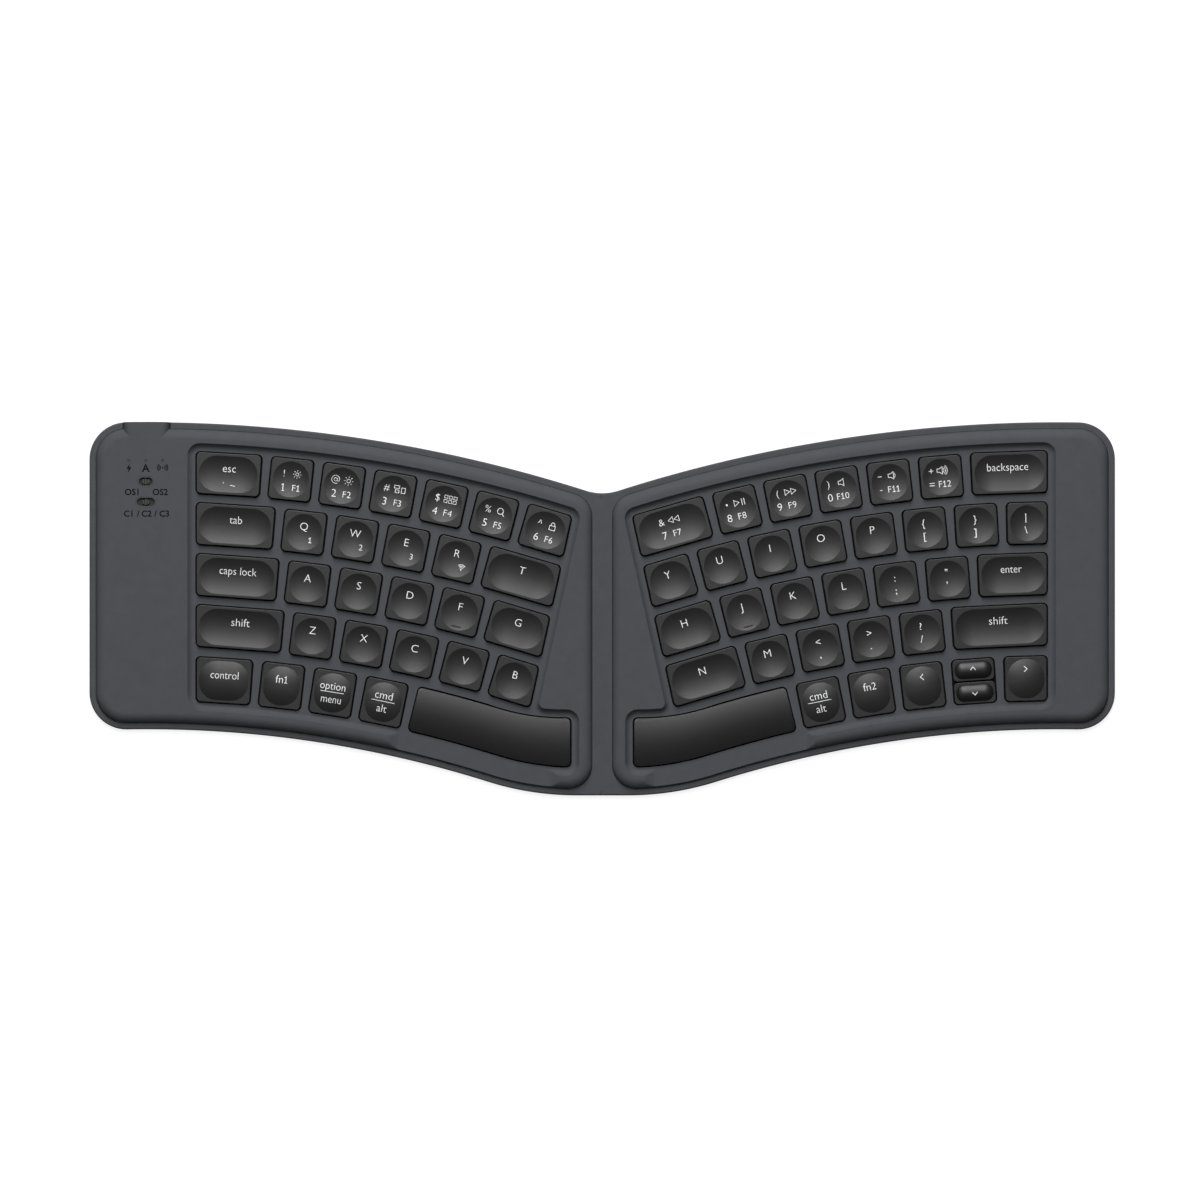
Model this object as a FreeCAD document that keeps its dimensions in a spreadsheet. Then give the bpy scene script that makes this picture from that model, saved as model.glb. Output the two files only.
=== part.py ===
import FreeCAD, Part
import math
import os
from collections import namedtuple

# A foldable wireless keyboard, lying open. Two rigid housings sit on one soft cover that
# bends along two creases between them, so the keys close face to face like a book.
# X runs along the keyboard with the fold at 0, +Y is the rear edge, +Z is up. The origin
# lies under the middle of the silhouette, at the level of the feet.
# Every edge that follows the keys is an arc about one bow centre per half, so the rows, the
# key well, the housing and the cover are offsets of each other.

SIZES = (
    ("bow_centre_x", 165.4, "from the fold to the bow centre of each half"),
    ("rear_radius", 524.3, "bow centre to the rear edge of the cover"),
    ("front_radius", 412.8, "bow centre to the front edge of the cover"),
    ("front_drop", 24.0, "straight front edge ahead of the bow's front edge"),
    ("half_width", 186.1, "fold to the outer edge of the cover"),
    ("corner_radius", 13.4, "outer corners of the cover"),
    ("valley_radius", 19.2, "rear edge where the two halves meet"),
    ("bend_radius", 107.0, "front edge where the bow turns into the straight part"),
    ("flange_width", 2.4, "cover showing round each housing"),
    ("spine_width", 6.7, "between the two creases"),
    ("crease_gap", 0.1, "between the spine and each half of the cover"),
    ("crease_clearance", 0.3, "crease to the inner wall of the housing"),
    ("inner_corner_radius", 8.7, "corners of the housing beside the spine"),
    ("foot_height", 0.5, "feet below the cover"),
    ("foot_seat", 0.3, "feet sunk into the cover"),
    ("foot_radius", 4.0, "round rubber foot"),
    ("foot_inset", 12.0, "foot centre from the edges of the cover"),
    ("cover_floor", 0.8, "cover under the housing"),
    ("cover_rim", 2.0, "cover at its flange"),
    ("seat_clearance", 0.1, "housing in the recess of the cover"),
    ("housing_height", 3.2, "top of the housing above the flange"),
    ("edge_round", 2.9, "quarter round along the top of the housing"),
    ("housing_wall", 1.6, "side wall of the housing"),
    ("skin_thickness", 0.8, "top of the housing over the battery"),
    ("room_margin", 0.3, "battery room from the foot of the rounded edge"),
    ("bay_depth", 1.6, "key well below the top of the housing"),
    ("bay_margin", 3.3, "top edge of the key well from the keys"),
    ("bay_wall_run", 1.8, "slope of the wall of the key well"),
    ("deck_thickness", 0.4, "floor of the key well"),
    ("plate_thickness", 0.4, "steel base plate"),
    ("plate_clearance", 0.15, "base plate and circuit sheet from the housing wall"),
    ("circuit_thickness", 0.3, "circuit sheet on the base plate"),
    ("key_pitch", 18.7, "keys along each row"),
    ("row_pitch", 18.5, "rows one to four"),
    ("thumb_row_pitch", 19.35, "row four to the thumb row"),
    ("home_row_radius", 469.2, "bow centre to the middle of the home row"),
    ("key_width", 14.64, "top of a square key along the row"),
    ("key_depth", 14.55, "top of a key across the row"),
    ("thumb_key_depth", 15.65, "top of a thumb row key across the row"),
    ("key_corner", 0.85, "bevel across the corners of a key"),
    ("key_gap", 0.85, "opening round the top of a key"),
    ("key_proud", 1.4, "top of a key above the floor of the well"),
    ("key_height", 1.8, "whole height of a keycap"),
    ("key_roof", 0.9, "top of a keycap"),
    ("key_wall", 1.0, "skirt of a keycap"),
    ("dish_depth", 0.35, "hollow of a typing key, or crown of a thumb key"),
    ("dish_margin", 0.75, "rim of a key in front of and behind its hollow"),
    ("dish_flat", 0.45, "share of a hollow or crown that lies flat"),
    ("homing_length", 3.4, "raised bar on the two home keys"),
    ("homing_width", 0.45, "raised bar on the two home keys"),
    ("homing_inset", 2.1, "raised bar behind the front edge of its key"),
    ("left_keys_edge", 146.85, "fold to the outer ends of the left rows"),
    ("right_keys_edge", 161.0, "fold to the outer ends of the right rows"),
    ("slant_angle", 12.4, "inner ends of the rows from the fold"),
    ("slant_x", 18.7, "fold to the inner ends of the rows, at the middle"),
    ("space_end_x", 11.75, "fold to the inner end of each space bar"),
    ("space_rear_y", 39.9, "rear edge of the space bar at its inner end, ahead of the middle"),
    ("space_bend_radius", 79.0, "rear edge of the space bar where its bow turns"),
    ("thumb_cut_outer", 73.6, "fold to the outer end of the floor of the thumb cut-out"),
    ("thumb_cut_inner", 19.3, "fold to the inner end of the floor of the thumb cut-out"),
    ("thumb_cut_slope", 3.8, "length of the sloping ends of the thumb cut-out"),
    ("dome_base", 2.2, "rubber dome, half the width of its foot"),
    ("dome_tip", 1.3, "rubber dome, half the width of its top"),
    ("dome_clearance", 0.1, "rubber dome below the keycap"),
    ("link_length", 10.6, "scissor link across the row"),
    ("link_width", 9.6, "outer scissor link along the row"),
    ("link_bar", 0.9, "bar of a scissor link"),
    ("link_thickness", 0.5, "scissor link"),
    ("link_side_gap", 0.3, "between the two links of a pair"),
    ("ribbon_width", 20.0, "flexible cable between the halves"),
    ("ribbon_thickness", 0.2, "flexible cable between the halves"),
    ("ribbon_clearance", 0.1, "channel round the flexible cable"),
    ("boss_width", 17.1, "raised block round the charging port"),
    ("port_width", 8.94, "shell of the charging port"),
    ("port_height", 3.16, "shell of the charging port"),
    ("port_length", 7.3, "shell of the charging port"),
    ("port_bevel", 0.3, "bevelled corners of the port, as a share of its height"),
    ("port_wall", 0.3, "shell of the charging port"),
    ("port_reach", 6.2, "opening of the charging port"),
    ("port_setback", 0.2, "mouth of the port inside the rear edge"),
    ("port_clearance", 0.1, "housing round the port"),
    ("tongue_width", 6.69, "tongue of the charging port"),
    ("tongue_height", 0.7, "tongue of the charging port"),
    ("tongue_setback", 1.0, "tongue behind the mouth of the port"),
    ("controls_inset", 20.7, "outer edge to the middle of the switches, lights and port"),
    ("lamp_y", 53.8, "lights behind the middle"),
    ("lamp_pitch", 6.1, "between the lights"),
    ("lamp_radius", 0.5, "light pipe of each light"),
    ("lamp_clearance", 0.05, "hole round a light pipe"),
    ("lamp_setback", 0.05, "light pipe below the top of the housing"),
    ("guide_width", 2.4, "bar that joins the light pipes"),
    ("guide_height", 0.8, "bar that joins the light pipes"),
    ("mode_switch_y", 46.1, "two-position switch behind the middle"),
    ("system_switch_y", 38.7, "three-position switch behind the middle"),
    ("slot_width", 2.9, "slot of a switch across its travel"),
    ("slot_bevel", 0.12, "bevelled ends of a slot, as a share of its width"),
    ("mode_travel", 1.6, "throw of the two-position switch"),
    ("system_travel", 3.2, "throw of the three-position switch"),
    ("knob_length", 3.0, "slider along its travel"),
    ("knob_clearance", 0.2, "slider in its slot"),
    ("knob_setback", 0.1, "slider below the top of the housing"),
    ("knob_ridge", 0.3, "grip ridges on a slider"),
    ("knob_corner", 0.4, "bevelled corners of a slider"),
    ("slider_foot", 0.7, "plate of a slider under the housing, beyond the slot"),
    ("slider_plate", 0.5, "plate of a slider under the housing"),
    ("switch_body_height", 1.1, "switch on the board"),
    ("switch_body_width", 3.4, "switch on the board"),
    ("board_thickness", 0.8, "main board"),
    ("board_gap", 1.8, "main board behind the pouch cell"),
    ("room_clearance", 0.6, "main board from the walls of its room"),
    ("port_seat", 0.1, "main board ahead of the charging port"),
    ("battery_side_gap", 1.0, "pouch cell from each side of the main board's width"),
    ("battery_length", 66.0, "pouch cell"),
    ("battery_height", 2.6, "pouch cell"),
    ("battery_bevel", 0.6, "long edges of the pouch cell"),
    ("battery_y", -1.8, "middle of the pouch cell"),
)

LEVELS = (
    ("recess_floor", "foot_height + cover_floor", "housing and plate stand here"),
    ("flange_top", "foot_height + cover_rim", "flange and spine"),
    ("panel_top", "flange_top + housing_height", "top of the housing"),
    ("deck_top", "panel_top - bay_depth", "floor of the key well"),
    ("deck_under", "deck_top - deck_thickness", "underside of that floor"),
    ("skin_under", "panel_top - skin_thickness", "roof over the battery"),
    ("plate_top", "recess_floor + plate_thickness", "base plate"),
    ("circuit_top", "plate_top + circuit_thickness", "circuit sheet"),
    ("key_top", "deck_top + key_proud", "tops of the keys"),
    ("key_bottom", "key_top - key_height", "skirts of the keys"),
    ("key_ceiling", "key_top - key_roof", "inside of the keycaps"),
    ("board_top", "circuit_top + board_thickness", "main board"),
    ("overall_depth", "rear_radius - front_radius + front_drop", "rear edge to front edge"),
    ("bow_centre_y", "overall_depth / 2 - rear_radius", "bow centres"),
    ("room_outer_x", "half_width - flange_width - edge_round - room_margin", "battery room"),
    ("room_inner_x", "left_keys_edge + bay_margin + housing_wall", "battery room"),
    ("room_width", "room_outer_x - room_inner_x", "battery room"),
    ("room_middle", "(room_outer_x + room_inner_x) / 2", "fold to the middle of the room"),
    ("controls_x", "half_width - controls_inset", "fold to the switches, lights and port"),
    ("board_front_y", "battery_y + battery_length / 2 + board_gap", "front of the main board"),
    ("board_width", "room_width - 2 * room_clearance", "main board"),
    ("battery_width", "board_width - 2 * battery_side_gap", "pouch cell"),
)

doc = FreeCAD.newDocument("foldable_keyboard")
sheet = doc.addObject("Spreadsheet::Sheet", "sizes")


def fill_sheet():
    """Write the driving sizes, then the levels that follow from them."""
    row = 0
    for name, value, meaning in SIZES:
        row += 1
        sheet.set(f"A{row}", name)
        sheet.set(f"B{row}", str(value))
        sheet.set(f"C{row}", meaning)
        sheet.setAlias(f"B{row}", name)
    doc.recompute()
    for name, formula, meaning in LEVELS:
        row += 1
        sheet.set(f"A{row}", name)
        sheet.set(f"B{row}", "=" + formula)
        sheet.set(f"C{row}", meaning)
        sheet.setAlias(f"B{row}", name)
        doc.recompute()
    names = [entry[0] for entry in SIZES + LEVELS]
    return namedtuple("Sizes", names)(*[float(sheet.get(name)) for name in names])


d = fill_sheet()
nodes = []

# Outlines
# An outline is a closed walk with the inside on the left. Its sides are straight or round,
# and each corner between two sides may have a radius.

Straight = namedtuple("Straight", "x y dx dy")
Round = namedtuple("Round", "x y radius turn")
Arc = namedtuple("Arc", "start middle end")
Segment = namedtuple("Segment", "start end")


def straight(x, y, angle):
    """A straight side through a point, walked at an angle from +X."""
    a = math.radians(angle)
    return Straight(x, y, math.cos(a), math.sin(a))


def inward(side, distance):
    if isinstance(side, Straight):
        return side._replace(x=side.x - side.dy * distance, y=side.y + side.dx * distance)
    return side._replace(radius=side.radius - side.turn * distance)


def heading(side, point):
    if isinstance(side, Straight):
        return side.dx, side.dy
    reach = side.turn / side.radius
    return -(point[1] - side.y) * reach, (point[0] - side.x) * reach


def foot_point(side, point):
    """The point of a side nearest to a given point."""
    if isinstance(side, Straight):
        along = (point[0] - side.x) * side.dx + (point[1] - side.y) * side.dy
        return side.x + side.dx * along, side.y + side.dy * along
    reach = side.radius / math.hypot(point[0] - side.x, point[1] - side.y)
    return side.x + (point[0] - side.x) * reach, side.y + (point[1] - side.y) * reach


def crossing(a, b, near):
    """Where two sides meet, nearest to a given point. Sides that only touch meet there."""
    if isinstance(a, Round) and isinstance(b, Straight):
        a, b = b, a
    if isinstance(a, Straight) and isinstance(b, Straight):
        spread = a.dx * b.dy - a.dy * b.dx
        along = ((b.x - a.x) * b.dy - (b.y - a.y) * b.dx) / spread
        return a.x + a.dx * along, a.y + a.dy * along
    if isinstance(a, Straight):
        base = foot_point(a, (b.x, b.y))
        gap = math.hypot(base[0] - b.x, base[1] - b.y)
        half = math.sqrt(max(b.radius**2 - gap**2, 0.0))
        way = (a.dx * half, a.dy * half)
    else:
        gap = math.hypot(b.x - a.x, b.y - a.y)
        ux, uy = (b.x - a.x) / gap, (b.y - a.y) / gap
        along = (gap**2 + a.radius**2 - b.radius**2) / (2 * gap)
        base = (a.x + ux * along, a.y + uy * along)
        half = math.sqrt(max(a.radius**2 - along**2, 0.0))
        way = (-uy * half, ux * half)
    found = [(base[0] + s * way[0], base[1] + s * way[1]) for s in (1, -1)]
    return min(found, key=lambda p: math.hypot(p[0] - near[0], p[1] - near[1]))


def corner(before, after, radius, inset, near):
    """Start, middle and end of the bend between two sides."""
    point = crossing(before, after, near)
    h1, h2 = heading(before, point), heading(after, point)
    swing = h1[0] * h2[1] - h1[1] * h2[0]
    bend = 1 if swing > 0 else -1
    if radius == 0 or radius < bend * inset + 0.01 or abs(swing) < 0.01:
        return point, None, point
    radius = radius - bend * inset
    centre = crossing(inward(before, bend * radius), inward(after, bend * radius), point)
    reach = radius / math.hypot(point[0] - centre[0], point[1] - centre[1])
    middle = tuple(c + (p - c) * reach for c, p in zip(centre, point))
    return foot_point(before, centre), middle, foot_point(after, centre)


def outline(sides, radii, near, inset=0.0, bevelled=False):
    """The edges of a closed outline. Corner i lies where side i begins, round or bevelled."""
    sides = [inward(side, inset) for side in sides]
    if isinstance(radii, (int, float)):
        radii = [radii] * len(sides)
    bends = [corner(sides[i - 1], sides[i], radii[i], inset, near) for i in range(len(sides))]
    edges = []
    for i, side in enumerate(sides):
        start, middle, end = bends[i]
        finish = bends[(i + 1) % len(sides)][0]
        if middle:
            edges.append(Segment(start, end) if bevelled else Arc(start, middle, end))
        if isinstance(side, Straight):
            edges.append(Segment(end, finish))
            continue
        way = (end[0] + finish[0] - 2 * side.x, end[1] + finish[1] - 2 * side.y)
        reach = side.radius / math.hypot(*way)
        edges.append(Arc(end, (side.x + way[0] * reach, side.y + way[1] * reach), finish))
    return edges


def block(x, y, width, depth):
    """Four sides of an upright rectangle about a point."""
    return [
        straight(x + width / 2, y, 90),
        straight(x, y + depth / 2, 180),
        straight(x - width / 2, y, -90),
        straight(x, y - depth / 2, 0),
    ]


def polygon(radius, count):
    points = [
        (radius * math.cos(2 * math.pi * i / count), radius * math.sin(2 * math.pi * i / count))
        for i in range(count)
    ]
    return [Segment(points[i - 1], points[i]) for i in range(count)]


def mapped(edges, place):
    return [type(edge)(*[place(point) for point in edge]) for edge in edges]


def mirrored(edges, side):
    """Outlines are worked out for the left half. The right half mirrors them."""
    return edges if side == "left" else mapped(edges, lambda p: (-p[0], p[1]))


def geometry(edge):
    points = [FreeCAD.Vector(x, y, 0) for x, y in edge]
    return Part.Arc(*points) if isinstance(edge, Arc) else Part.LineSegment(*points)


# Document objects


def new_body(label):
    made = doc.addObject("PartDesign::Body", label)
    made.Label = label
    return made


def plane(owner, role):
    return next(o for o in owner.Origin.OriginFeatures if o.Role == role)


def new_sketch(owner, label, edges, level="0", role="XY_Plane"):
    sketch = owner.newObject("Sketcher::SketchObject", label)
    sketch.AttachmentSupport = [(plane(owner, role), "")]
    sketch.MapMode = "FlatFace"
    sketch.setExpression("AttachmentOffset.Base.z", level)
    sketch.addGeometry([geometry(edge) for edge in edges], False)
    return sketch


def pad(owner, sketch, length, label):
    made = owner.newObject("PartDesign::Pad", label)
    made.Profile = sketch
    made.setExpression("Length", length)
    return made


def pocket(owner, sketch, length, label, upward=False):
    made = owner.newObject("PartDesign::Pocket", label)
    made.Profile = sketch
    made.setExpression("Length", length)
    made.Reversed = upward
    return made


def pocket_across(owner, sketch, length, label):
    """A cut to both sides of its sketch."""
    made = pocket(owner, sketch, length, label)
    made.Midplane = True
    return made


def loft(owner, kind, low, higher, label):
    made = owner.newObject("PartDesign::" + kind, label)
    made.Profile = low
    made.Sections = higher
    made.Ruled = True
    return made


def at_level(edge, level):
    return all(abs(v.Point.z - level) < 1e-4 for v in edge.Vertexes)


def compound(label, members):
    made = doc.addObject("Part::Compound", label)
    made.Label = label
    made.Links = members
    return made


def copy_of(source, x, y, angle, label):
    link = doc.addObject("App::Link", label)
    link.LinkedObject = source
    link.LinkTransform = False
    link.Placement = FreeCAD.Placement(
        FreeCAD.Vector(x, y, 0), FreeCAD.Rotation(FreeCAD.Vector(0, 0, 1), angle)
    )
    return link


def keep(node):
    nodes.append(node)
    return node


# Sides shared by the pieces, worked out for the left half

BOW = (-d.bow_centre_x, d.bow_centre_y)
MIDDLE = (-d.half_width / 2, 0.0)
FRONT_Y = -d.overall_depth / 2
CREASE_X = -d.spine_width / 2
PANEL_INNER_X = CREASE_X - d.crease_clearance
# Upright sections through the port are drawn at the rear edge and run forward from it.
REAR = "-sizes.overall_depth / 2"

# Rows are counted from the rear.
HOME_ROW = 3
THUMB_ROW = 5


def bow(radius, turn):
    return Round(BOW[0], BOW[1], radius, turn)


def front_bend(gap):
    """The bow's reversed bend at the front, a gap behind the front edge of the cover."""
    centre_y = FRONT_Y + d.bend_radius
    across = math.sqrt((d.front_radius + d.bend_radius) ** 2 - (centre_y - BOW[1]) ** 2)
    return Round(BOW[0] + across, centre_y, d.bend_radius - gap, 1)


def space_rear_bend():
    """The bow's reversed bend at the rear edge of the space bar."""
    centre_y = -d.space_rear_y + d.space_bend_radius
    reach = row_radius(THUMB_ROW) + d.thumb_key_depth / 2 + d.space_bend_radius
    across = math.sqrt(reach**2 - (centre_y - BOW[1]) ** 2)
    return Round(BOW[0] + across, centre_y, d.space_bend_radius, -1)


def valley():
    """The rear edge between the halves, which touches the bows of both."""
    rise = math.sqrt((d.rear_radius + d.valley_radius) ** 2 - BOW[0] ** 2)
    return Round(0.0, BOW[1] + rise, d.valley_radius, -1)


def row_radius(row):
    if row == THUMB_ROW:
        return row_radius(THUMB_ROW - 1) - d.thumb_row_pitch
    return d.home_row_radius + (HOME_ROW - row) * d.row_pitch


def cover_edges():
    sides = [
        straight(CREASE_X, 0, 90),
        valley(),
        bow(d.rear_radius, 1),
        straight(-d.half_width, 0, -90),
        bow(d.front_radius, -1),
        front_bend(0),
        straight(0, FRONT_Y, 0),
    ]
    return outline(sides, [0, 0, 0, d.corner_radius, d.corner_radius, 0, 0], MIDDLE)


def spine_edges():
    half = d.spine_width / 2 - d.crease_gap
    sides = [
        straight(half, 0, 90),
        valley(),
        straight(-half, 0, -90),
        straight(0, FRONT_Y, 0),
    ]
    return outline(sides, 0, (0.0, 0.0))


def panel_edges(inset=0.0, bevelled=False):
    """The housing, a flange's width inside the cover."""
    rear = bow(d.rear_radius - d.flange_width, 1)
    outer_corner = d.corner_radius - d.flange_width
    sides = [
        straight(PANEL_INNER_X, 0, 90),
        rear,
        straight(-d.half_width + d.flange_width, 0, -90),
        bow(d.front_radius + d.flange_width, -1),
        front_bend(d.flange_width),
    ]
    radii = [d.inner_corner_radius, d.inner_corner_radius, outer_corner, outer_corner, 0]
    return outline(sides, radii, MIDDLE, inset, bevelled)


# Keys
# A key is placed on its row by its distance along the bow, and turned square to the bow.

Key = namedtuple("Key", "label row x y angle sides dished home")


def slant():
    return straight(-d.slant_x, 0, 90 - d.slant_angle)


def outer_end(side):
    return straight(-d.left_keys_edge if side == "left" else -d.right_keys_edge, 0, -90)


def depth_of(row):
    return d.thumb_key_depth if row == THUMB_ROW else d.key_depth


def cell_side(row, along, toward):
    """The side of the square cell at a distance along its row, on the side given."""
    angle = math.degrees(along / row_radius(row))
    swing = math.radians(angle)
    x = BOW[0] + row_radius(row) * math.sin(swing) + toward * d.key_width / 2 * math.cos(swing)
    y = BOW[1] + row_radius(row) * math.cos(swing) - toward * d.key_width / 2 * math.sin(swing)
    return straight(x, y, 90 - angle if toward > 0 else -90 - angle)


def key_between(label, row, along, inner, outer, home=False):
    """A key turned to the bow at a distance along its row, between the sides given."""
    swing = along / row_radius(row)
    angle = math.degrees(swing)
    half = depth_of(row) / 2
    far, near = row_radius(row) + half, row_radius(row) - half
    rear = straight(BOW[0] + far * math.sin(swing), BOW[1] + far * math.cos(swing), 180 - angle)
    front = straight(BOW[0] + near * math.sin(swing), BOW[1] + near * math.cos(swing), -angle)
    x = BOW[0] + row_radius(row) * math.sin(swing)
    y = BOW[1] + row_radius(row) * math.cos(swing)
    return Key(label, row, x, y, -angle, [inner, rear, outer, front], row != THUMB_ROW, home)


def square_key(label, row, along, home=False):
    return key_between(
        label, row, along, cell_side(row, along, 1), cell_side(row, along, -1), home
    )


def along_at(row, x):
    """The distance along a row at which it passes a given x of the left half."""
    return row_radius(row) * math.asin((x - BOW[0]) / row_radius(row))


def outer_key(label, row, first, side):
    """From the outer end of the row to the cell before its first square key."""
    cell = first - d.key_pitch
    inner = cell_side(row, cell, 1)
    start = along_at(row, outer_end(side).x)
    middle = (start + cell + d.key_width / 2) / 2
    return key_between(label, row, middle, inner, outer_end(side))


def inner_key(label, row, cell):
    """From its cell to the slanted inner end of the row."""
    end = crossing(slant(), bow(row_radius(row), 1), (0, 0))
    middle = (cell - d.key_width / 2 + along_at(row, end[0])) / 2
    return key_between(label, row, middle, slant(), cell_side(row, cell, -1))


def half_key(label, along, toward):
    """One of the two low arrow keys that share a cell."""
    whole = square_key(label, THUMB_ROW, along)
    offset = (d.thumb_key_depth + d.key_gap) / 4
    split = d.key_gap / 2
    swing = math.radians(-whole.angle)
    radial = (math.sin(swing), math.cos(swing))
    sides = list(whole.sides)
    cut = 3 if toward > 0 else 1
    sides[cut] = straight(
        whole.x + toward * split * radial[0],
        whole.y + toward * split * radial[1],
        whole.angle if toward > 0 else 180 + whole.angle,
    )
    return whole._replace(
        x=whole.x + toward * offset * radial[0],
        y=whole.y + toward * offset * radial[1],
        sides=sides,
    )


def space_key(label, cell):
    half = d.thumb_key_depth / 2
    radius = row_radius(THUMB_ROW)
    gap = radius - half - d.front_radius
    sides = [
        straight(-d.space_end_x, 0, 90),
        space_rear_bend(),
        bow(radius + half, 1),
        cell_side(THUMB_ROW, cell, -1),
        bow(radius - half, -1),
        front_bend(gap),
    ]
    middle = (cell - d.key_width / 2 + along_at(THUMB_ROW, -d.space_end_x)) / 2
    return key_between(label, THUMB_ROW, middle, None, None)._replace(sides=sides)


# Each row from the rear: the distance along it of its first square key, what its square keys
# type, from the outer end on, and its outer and inner keys.
LEFT_ROWS = (
    (52.64, "12345", "key_escape", "key_6"),
    (57.42, "QWER", "key_tab", "key_t"),
    (58.75, "ASDF", "key_caps_lock", "key_g"),
    (60.56, "ZXCV", "key_left_shift", "key_b"),
)
RIGHT_ROWS = (
    (42.60, "=-098", "key_backspace", "key_7"),
    (29.70, "][POIU", "key_backslash", "key_y"),
    (40.09, "';LKJ", "key_enter", "key_h"),
    (49.45, "/.,M", "key_right_shift", "key_n"),
)
ROW_NAMES = ("number", "upper", "home", "lower")
HOMING_KEYS = "FJ"
THUMB_FIRST = 49.25
THUMB_CELLS = 3


def half_keys(side):
    """The keys of one half: those alone, and the groups of square keys."""
    alone = []
    groups = {}
    rows = LEFT_ROWS if side == "left" else RIGHT_ROWS
    for row, (first, typed, outer, inner) in enumerate(rows, 1):
        alone.append(outer_key(outer, row, first, side))
        label = f"keys_{side}_{ROW_NAMES[row - 1]}_row"
        groups[label] = [
            square_key(f"{label}_{i + 1}", row, first + i * d.key_pitch, name in HOMING_KEYS)
            for i, name in enumerate(typed)
        ]
        alone.append(inner_key(inner, row, first + len(typed) * d.key_pitch))
    if side == "left":
        alone.append(outer_key("key_control", THUMB_ROW, THUMB_FIRST, side))
        names = ("key_function_left", "key_option", "key_command_left")
        last = "space_bar_left"
    else:
        pair = THUMB_FIRST - d.key_pitch
        alone.append(outer_key("key_arrow_right", THUMB_ROW, pair, side))
        alone.append(half_key("key_arrow_up", pair, 1))
        alone.append(half_key("key_arrow_down", pair, -1))
        names = ("key_arrow_left", "key_function_right", "key_command_right")
        last = "space_bar_right"
    for i, name in enumerate(names):
        alone.append(square_key(name, THUMB_ROW, THUMB_FIRST + i * d.key_pitch))
    alone.append(space_key(last, THUMB_FIRST + THUMB_CELLS * d.key_pitch))
    return alone, groups


def key_edges(key, inset, corners=True):
    radius = d.key_corner if corners else 0
    return outline(key.sides, radius, (key.x, key.y), inset, bevelled=True)


def in_key_frame(key, edges, side):
    """Outlines seen from the key's own frame. The right half's frames are mirrored."""
    flip = 1 if side == "left" else -1
    swing = math.radians(key.angle)

    def local(point):
        x, y = point[0] - key.x, point[1] - key.y
        turned = x * math.cos(swing) + y * math.sin(swing)
        return flip * turned, -x * math.sin(swing) + y * math.cos(swing)

    return mapped(edges, local)


def hollow_profile(depth, dished):
    """Section across a key of what is taken off its top: a hollow, or all above a crown."""
    top = d.key_top
    clear = top + d.key_roof
    if dished:
        half = depth / 2 - d.dish_margin
        middle, end = top - d.dish_depth, top
    else:
        half = depth / 2
        middle, end = top, top - d.dish_depth
    points = [
        (-half, end),
        (-half * d.dish_flat, middle),
        (half * d.dish_flat, middle),
        (half, end),
        (half, clear),
        (-half, clear),
    ]
    return [Segment(points[i - 1], points[i]) for i in range(len(points))]


def keycap(key, label, side, depth):
    """A keycap in its own frame: a shell open below, with its top hollowed or crowned."""
    cap = new_body(label)
    crown = in_key_frame(key, key_edges(key, 0), side)
    skirt = new_sketch(cap, label + "_outline", crown, "sizes.key_bottom")
    block_height = "sizes.key_height" if key.dished else "sizes.key_height + sizes.dish_depth"
    shell = pad(cap, skirt, "sizes.key_height" if depth is None else block_height, label + "_shell")
    inside = in_key_frame(key, key_edges(key, d.key_wall, False), side)
    hole = new_sketch(cap, label + "_inside", inside, "sizes.key_bottom")
    hollow = pocket(cap, hole, "sizes.key_height - sizes.key_roof", label + "_hollow", upward=True)
    if depth is None:
        long_edges(cap, hollow, label)
        return cap
    reach = depth if key.dished else depth + 2 * d.key_gap
    dish = new_sketch(cap, label + "_section", hollow_profile(reach, key.dished), "0", "YZ_Plane")
    pocket_across(cap, dish, "sizes.half_width", label + "_top")
    if key.home:
        y = d.homing_inset - depth / 2
        bar = outline(block(0, y, d.homing_length, d.homing_width), 0, (0, y))
        strip = new_sketch(cap, label + "_bar", bar, "sizes.key_top - sizes.dish_depth")
        pad(cap, strip, "sizes.dish_depth", label + "_homing_bar")
    return cap


def long_edges(cap, base, label):
    """Bevel the rear and front edges of a space bar's top."""
    doc.recompute()
    names = [
        f"Edge{i}"
        for i, edge in enumerate(base.Shape.Edges, 1)
        if at_level(edge, d.key_top) and isinstance(edge.Curve, Part.Circle)
    ]
    bevel = cap.newObject("PartDesign::Chamfer", label + "_bevel")
    bevel.Base = (base, names)
    bevel.setExpression("Size", "sizes.dish_depth")


def standard_place(key, side):
    flip = 1 if side == "left" else -1
    return flip * key.x, key.y, flip * key.angle


def build_keys():
    """Single keys as bodies, and the square keys of each row as copies of one keycap."""
    pattern = square_key("square_keycap", 3, 0)
    plain = keycap(pattern, "square_keycap", "left", d.key_depth)
    home = keycap(pattern._replace(home=True), "home_keycap", "left", d.key_depth)
    everything = {}
    for side in ("left", "right"):
        alone, groups = half_keys(side)
        everything[side] = alone + [key for group in groups.values() for key in group]
        for key in alone:
            depth = depth_of(key.row)
            if key.label in ("key_arrow_up", "key_arrow_down"):
                depth = (d.thumb_key_depth - d.key_gap) / 2
            elif key.label.startswith("space_bar"):
                depth = None
            cap = keycap(key, key.label, side, depth)
            x, y, angle = standard_place(key, side)
            cap.Placement = FreeCAD.Placement(
                FreeCAD.Vector(x, y, 0), FreeCAD.Rotation(FreeCAD.Vector(0, 0, 1), angle)
            )
            keep(cap)
        for label, group in groups.items():
            members = [
                copy_of(home if key.home else plain, *standard_place(key, side), key.label)
                for key in group
            ]
            keep(compound(label, members))
    return everything


# Cover

EDGE_STEPS = 2
FOOT_SIDES = 8
PIPE_SIDES = 8


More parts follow.
